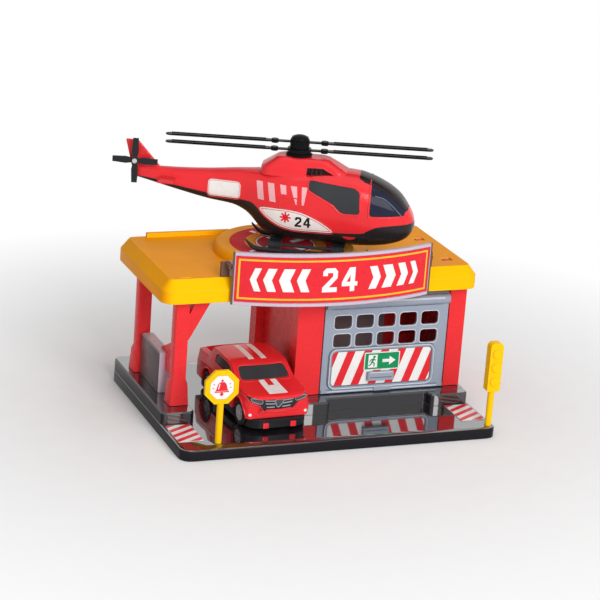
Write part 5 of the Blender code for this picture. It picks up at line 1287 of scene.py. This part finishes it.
# Skids. One satin black moulding under the belly: two runners with upturned ends, two broad
# struts across them and a step bar on each side.

skid_black = moulded("black_skid_plastic", (0.02, 0.022, 0.026), 0.28, drift=0.1, rub=0.14, grain=0.4, painted_edge_highlight=0.2)
dress(skid_black, "skid_gear")

# Rotors. Two glossy black double blades turn on the steel mast under a domed cap; the tail
# rotor is a satin black cross on a pin.

blade_black = moulded("black_blade_plastic", (0.006, 0.006, 0.007), 0.16, grain=0.1, painted_edge_highlight=0.03, density=1.12)
dress(blade_black, "rotor_blades_upper", "rotor_blades_lower", "rotor_collar")
dress(skid_black, "tail_rotor")

cap_low, cap_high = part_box("rotor_cap")
cap_centre = (cap_low + cap_high) / 2
cap_radius = (cap_high.x - cap_low.x) / 2
cap_rise = cap_high.z - cap_low.z
stand_up = Matrix.Translation((cap_centre.x, cap_centre.y, cap_low.z)) @ Matrix.Rotation(-math.pi / 2, 4, "Y")
cap_profile = [(0.0, cap_radius * 0.55), (0.0, cap_radius), (cap_rise * 0.16, cap_radius),
               (cap_rise * 0.2, cap_radius * 0.94)]
for i in range(1, 10):
    turn = math.pi / 2 * i / 10
    cap_profile.append((cap_rise * (0.2 + 0.8 * math.sin(turn)), cap_radius * 0.94 * math.cos(turn)))
cap_profile += [(cap_rise, cap_radius * 0.12), (cap_rise * 0.93, cap_radius * 0.1)]
dome_parts = [lathe(cap_profile, 48, stand_up)]
rib_reach = cap_radius * 0.82
for i in range(8):
    turn = math.tau * i / 8
    rib = rounded_block(cap_radius * 0.22, cap_radius * 0.14, cap_rise * 0.3, (0.0, 0.0, 0.0), 0.0002)
    spot = Vector((cap_centre.x + rib_reach * math.cos(turn), cap_centre.y + rib_reach * math.sin(turn),
                   cap_low.z + cap_rise * 0.42))
    rib.transform(Matrix.Translation(spot) @ Matrix.Rotation(turn, 4, "Z"))
    dome_parts.append(rib)
fit("rotor_dome", gather(dome_parts), [blade_black], "main_rotor", ["rotor_cap"], 40)

# Setting. A plain pale floor that fades to white, soft frontal studio light from three lamps,
# a white surround, and the camera that matches the photo's view.

floor_mesh = bpy.data.meshes.new("floor")
floor_shape = bmesh.new()
bmesh.ops.create_grid(floor_shape, x_segments=40, y_segments=40, size=9.0)
floor_shape.to_mesh(floor_mesh)
floor_shape.free()
floor = bpy.data.objects.new("floor", floor_mesh)
floor.location.z = -0.0002
bpy.context.scene.collection.objects.link(floor)
floor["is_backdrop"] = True


def looked_at(tree):
    """One where a ray comes from the camera, off a gloss or through clear plastic."""
    seen = put(tree, "LightPath").outputs
    looks = calc(tree, "MAXIMUM", seen["Is Camera Ray"], seen["Is Glossy Ray"])
    return calc(tree, "MAXIMUM", looks, seen["Is Transmission Ray"])


white = (1.0, 1.0, 1.0, 1.0)
floor_paper, tree, paper, place = blank_finish("floor_paper")
feed(tree, paper, {"Base Color": mixed(tree, cloud(tree, place, 60.0, 4.0), (0.9, 0.9, 0.9, 1.0),
                                       (0.94, 0.94, 0.94, 1.0)), "Roughness": 0.9})
glow = put(tree, "Emission", {"Color": white, "Strength": 1.0})
distance = put(tree, "VectorMath", {0: place}, operation="LENGTH").outputs["Value"]
share = calc(tree, "MULTIPLY", looked_at(tree), span(tree, distance, 0.17, 0.46))
laid = put(tree, "MixShader", {0: share, 1: paper.outputs[0], 2: glow.outputs[0]})
tree.links.new(laid.outputs[0], tree.nodes["Material Output"].inputs["Surface"])
floor_mesh.materials.append(floor_paper)

world = bpy.data.worlds.new("studio")
bpy.context.scene.world = world
world.use_nodes = True
tree = world.node_tree
ambient = feed(tree, tree.nodes["Background"], {"Color": white, "Strength": 0.38})
white_wall = put(tree, "Background", {"Color": white, "Strength": 1.0})
surround = put(tree, "MixShader", {0: looked_at(tree), 1: ambient.outputs[0], 2: white_wall.outputs[0]})
tree.links.new(surround.outputs[0], tree.nodes["World Output"].inputs["Surface"])

target = Vector((0.0, 0.0, 0.07))
for name, spot, size, power in (("key", (0.15, -2.0, 1.0), 1.1, 34.0), ("fill", (-1.7, -0.9, 0.7), 1.2, 1.2),
                                ("top", (0.2, -0.2, 1.9), 1.4, 6.0)):
    lamp = bpy.data.lights.new(name, "AREA")
    lamp.size = size
    lamp.energy = power
    light = bpy.data.objects.new(name, lamp)
    light.location = spot
    light.rotation_euler = (target - Vector(spot)).to_track_quat("-Z", "Y").to_euler()
    bpy.context.scene.collection.objects.link(light)

view = bpy.data.cameras.new("view")
view.lens = 141.23
view.sensor_width = 36.0
view.clip_start = 0.05
view.dof.use_dof = False
camera = bpy.data.objects.new("camera", view)
camera.matrix_world = (Matrix.Translation((-0.6255, -1.504, 0.6206))
                       @ Matrix.Rotation(math.radians(-22.363), 4, "Z")
                       @ Matrix.Rotation(math.radians(90 - 18.263), 4, "X")
                       @ Matrix.Rotation(math.radians(4.27), 4, "Z"))
bpy.context.scene.collection.objects.link(camera)
bpy.context.scene.camera = camera
bpy.context.scene.view_settings.view_transform = "Standard"

low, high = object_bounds()
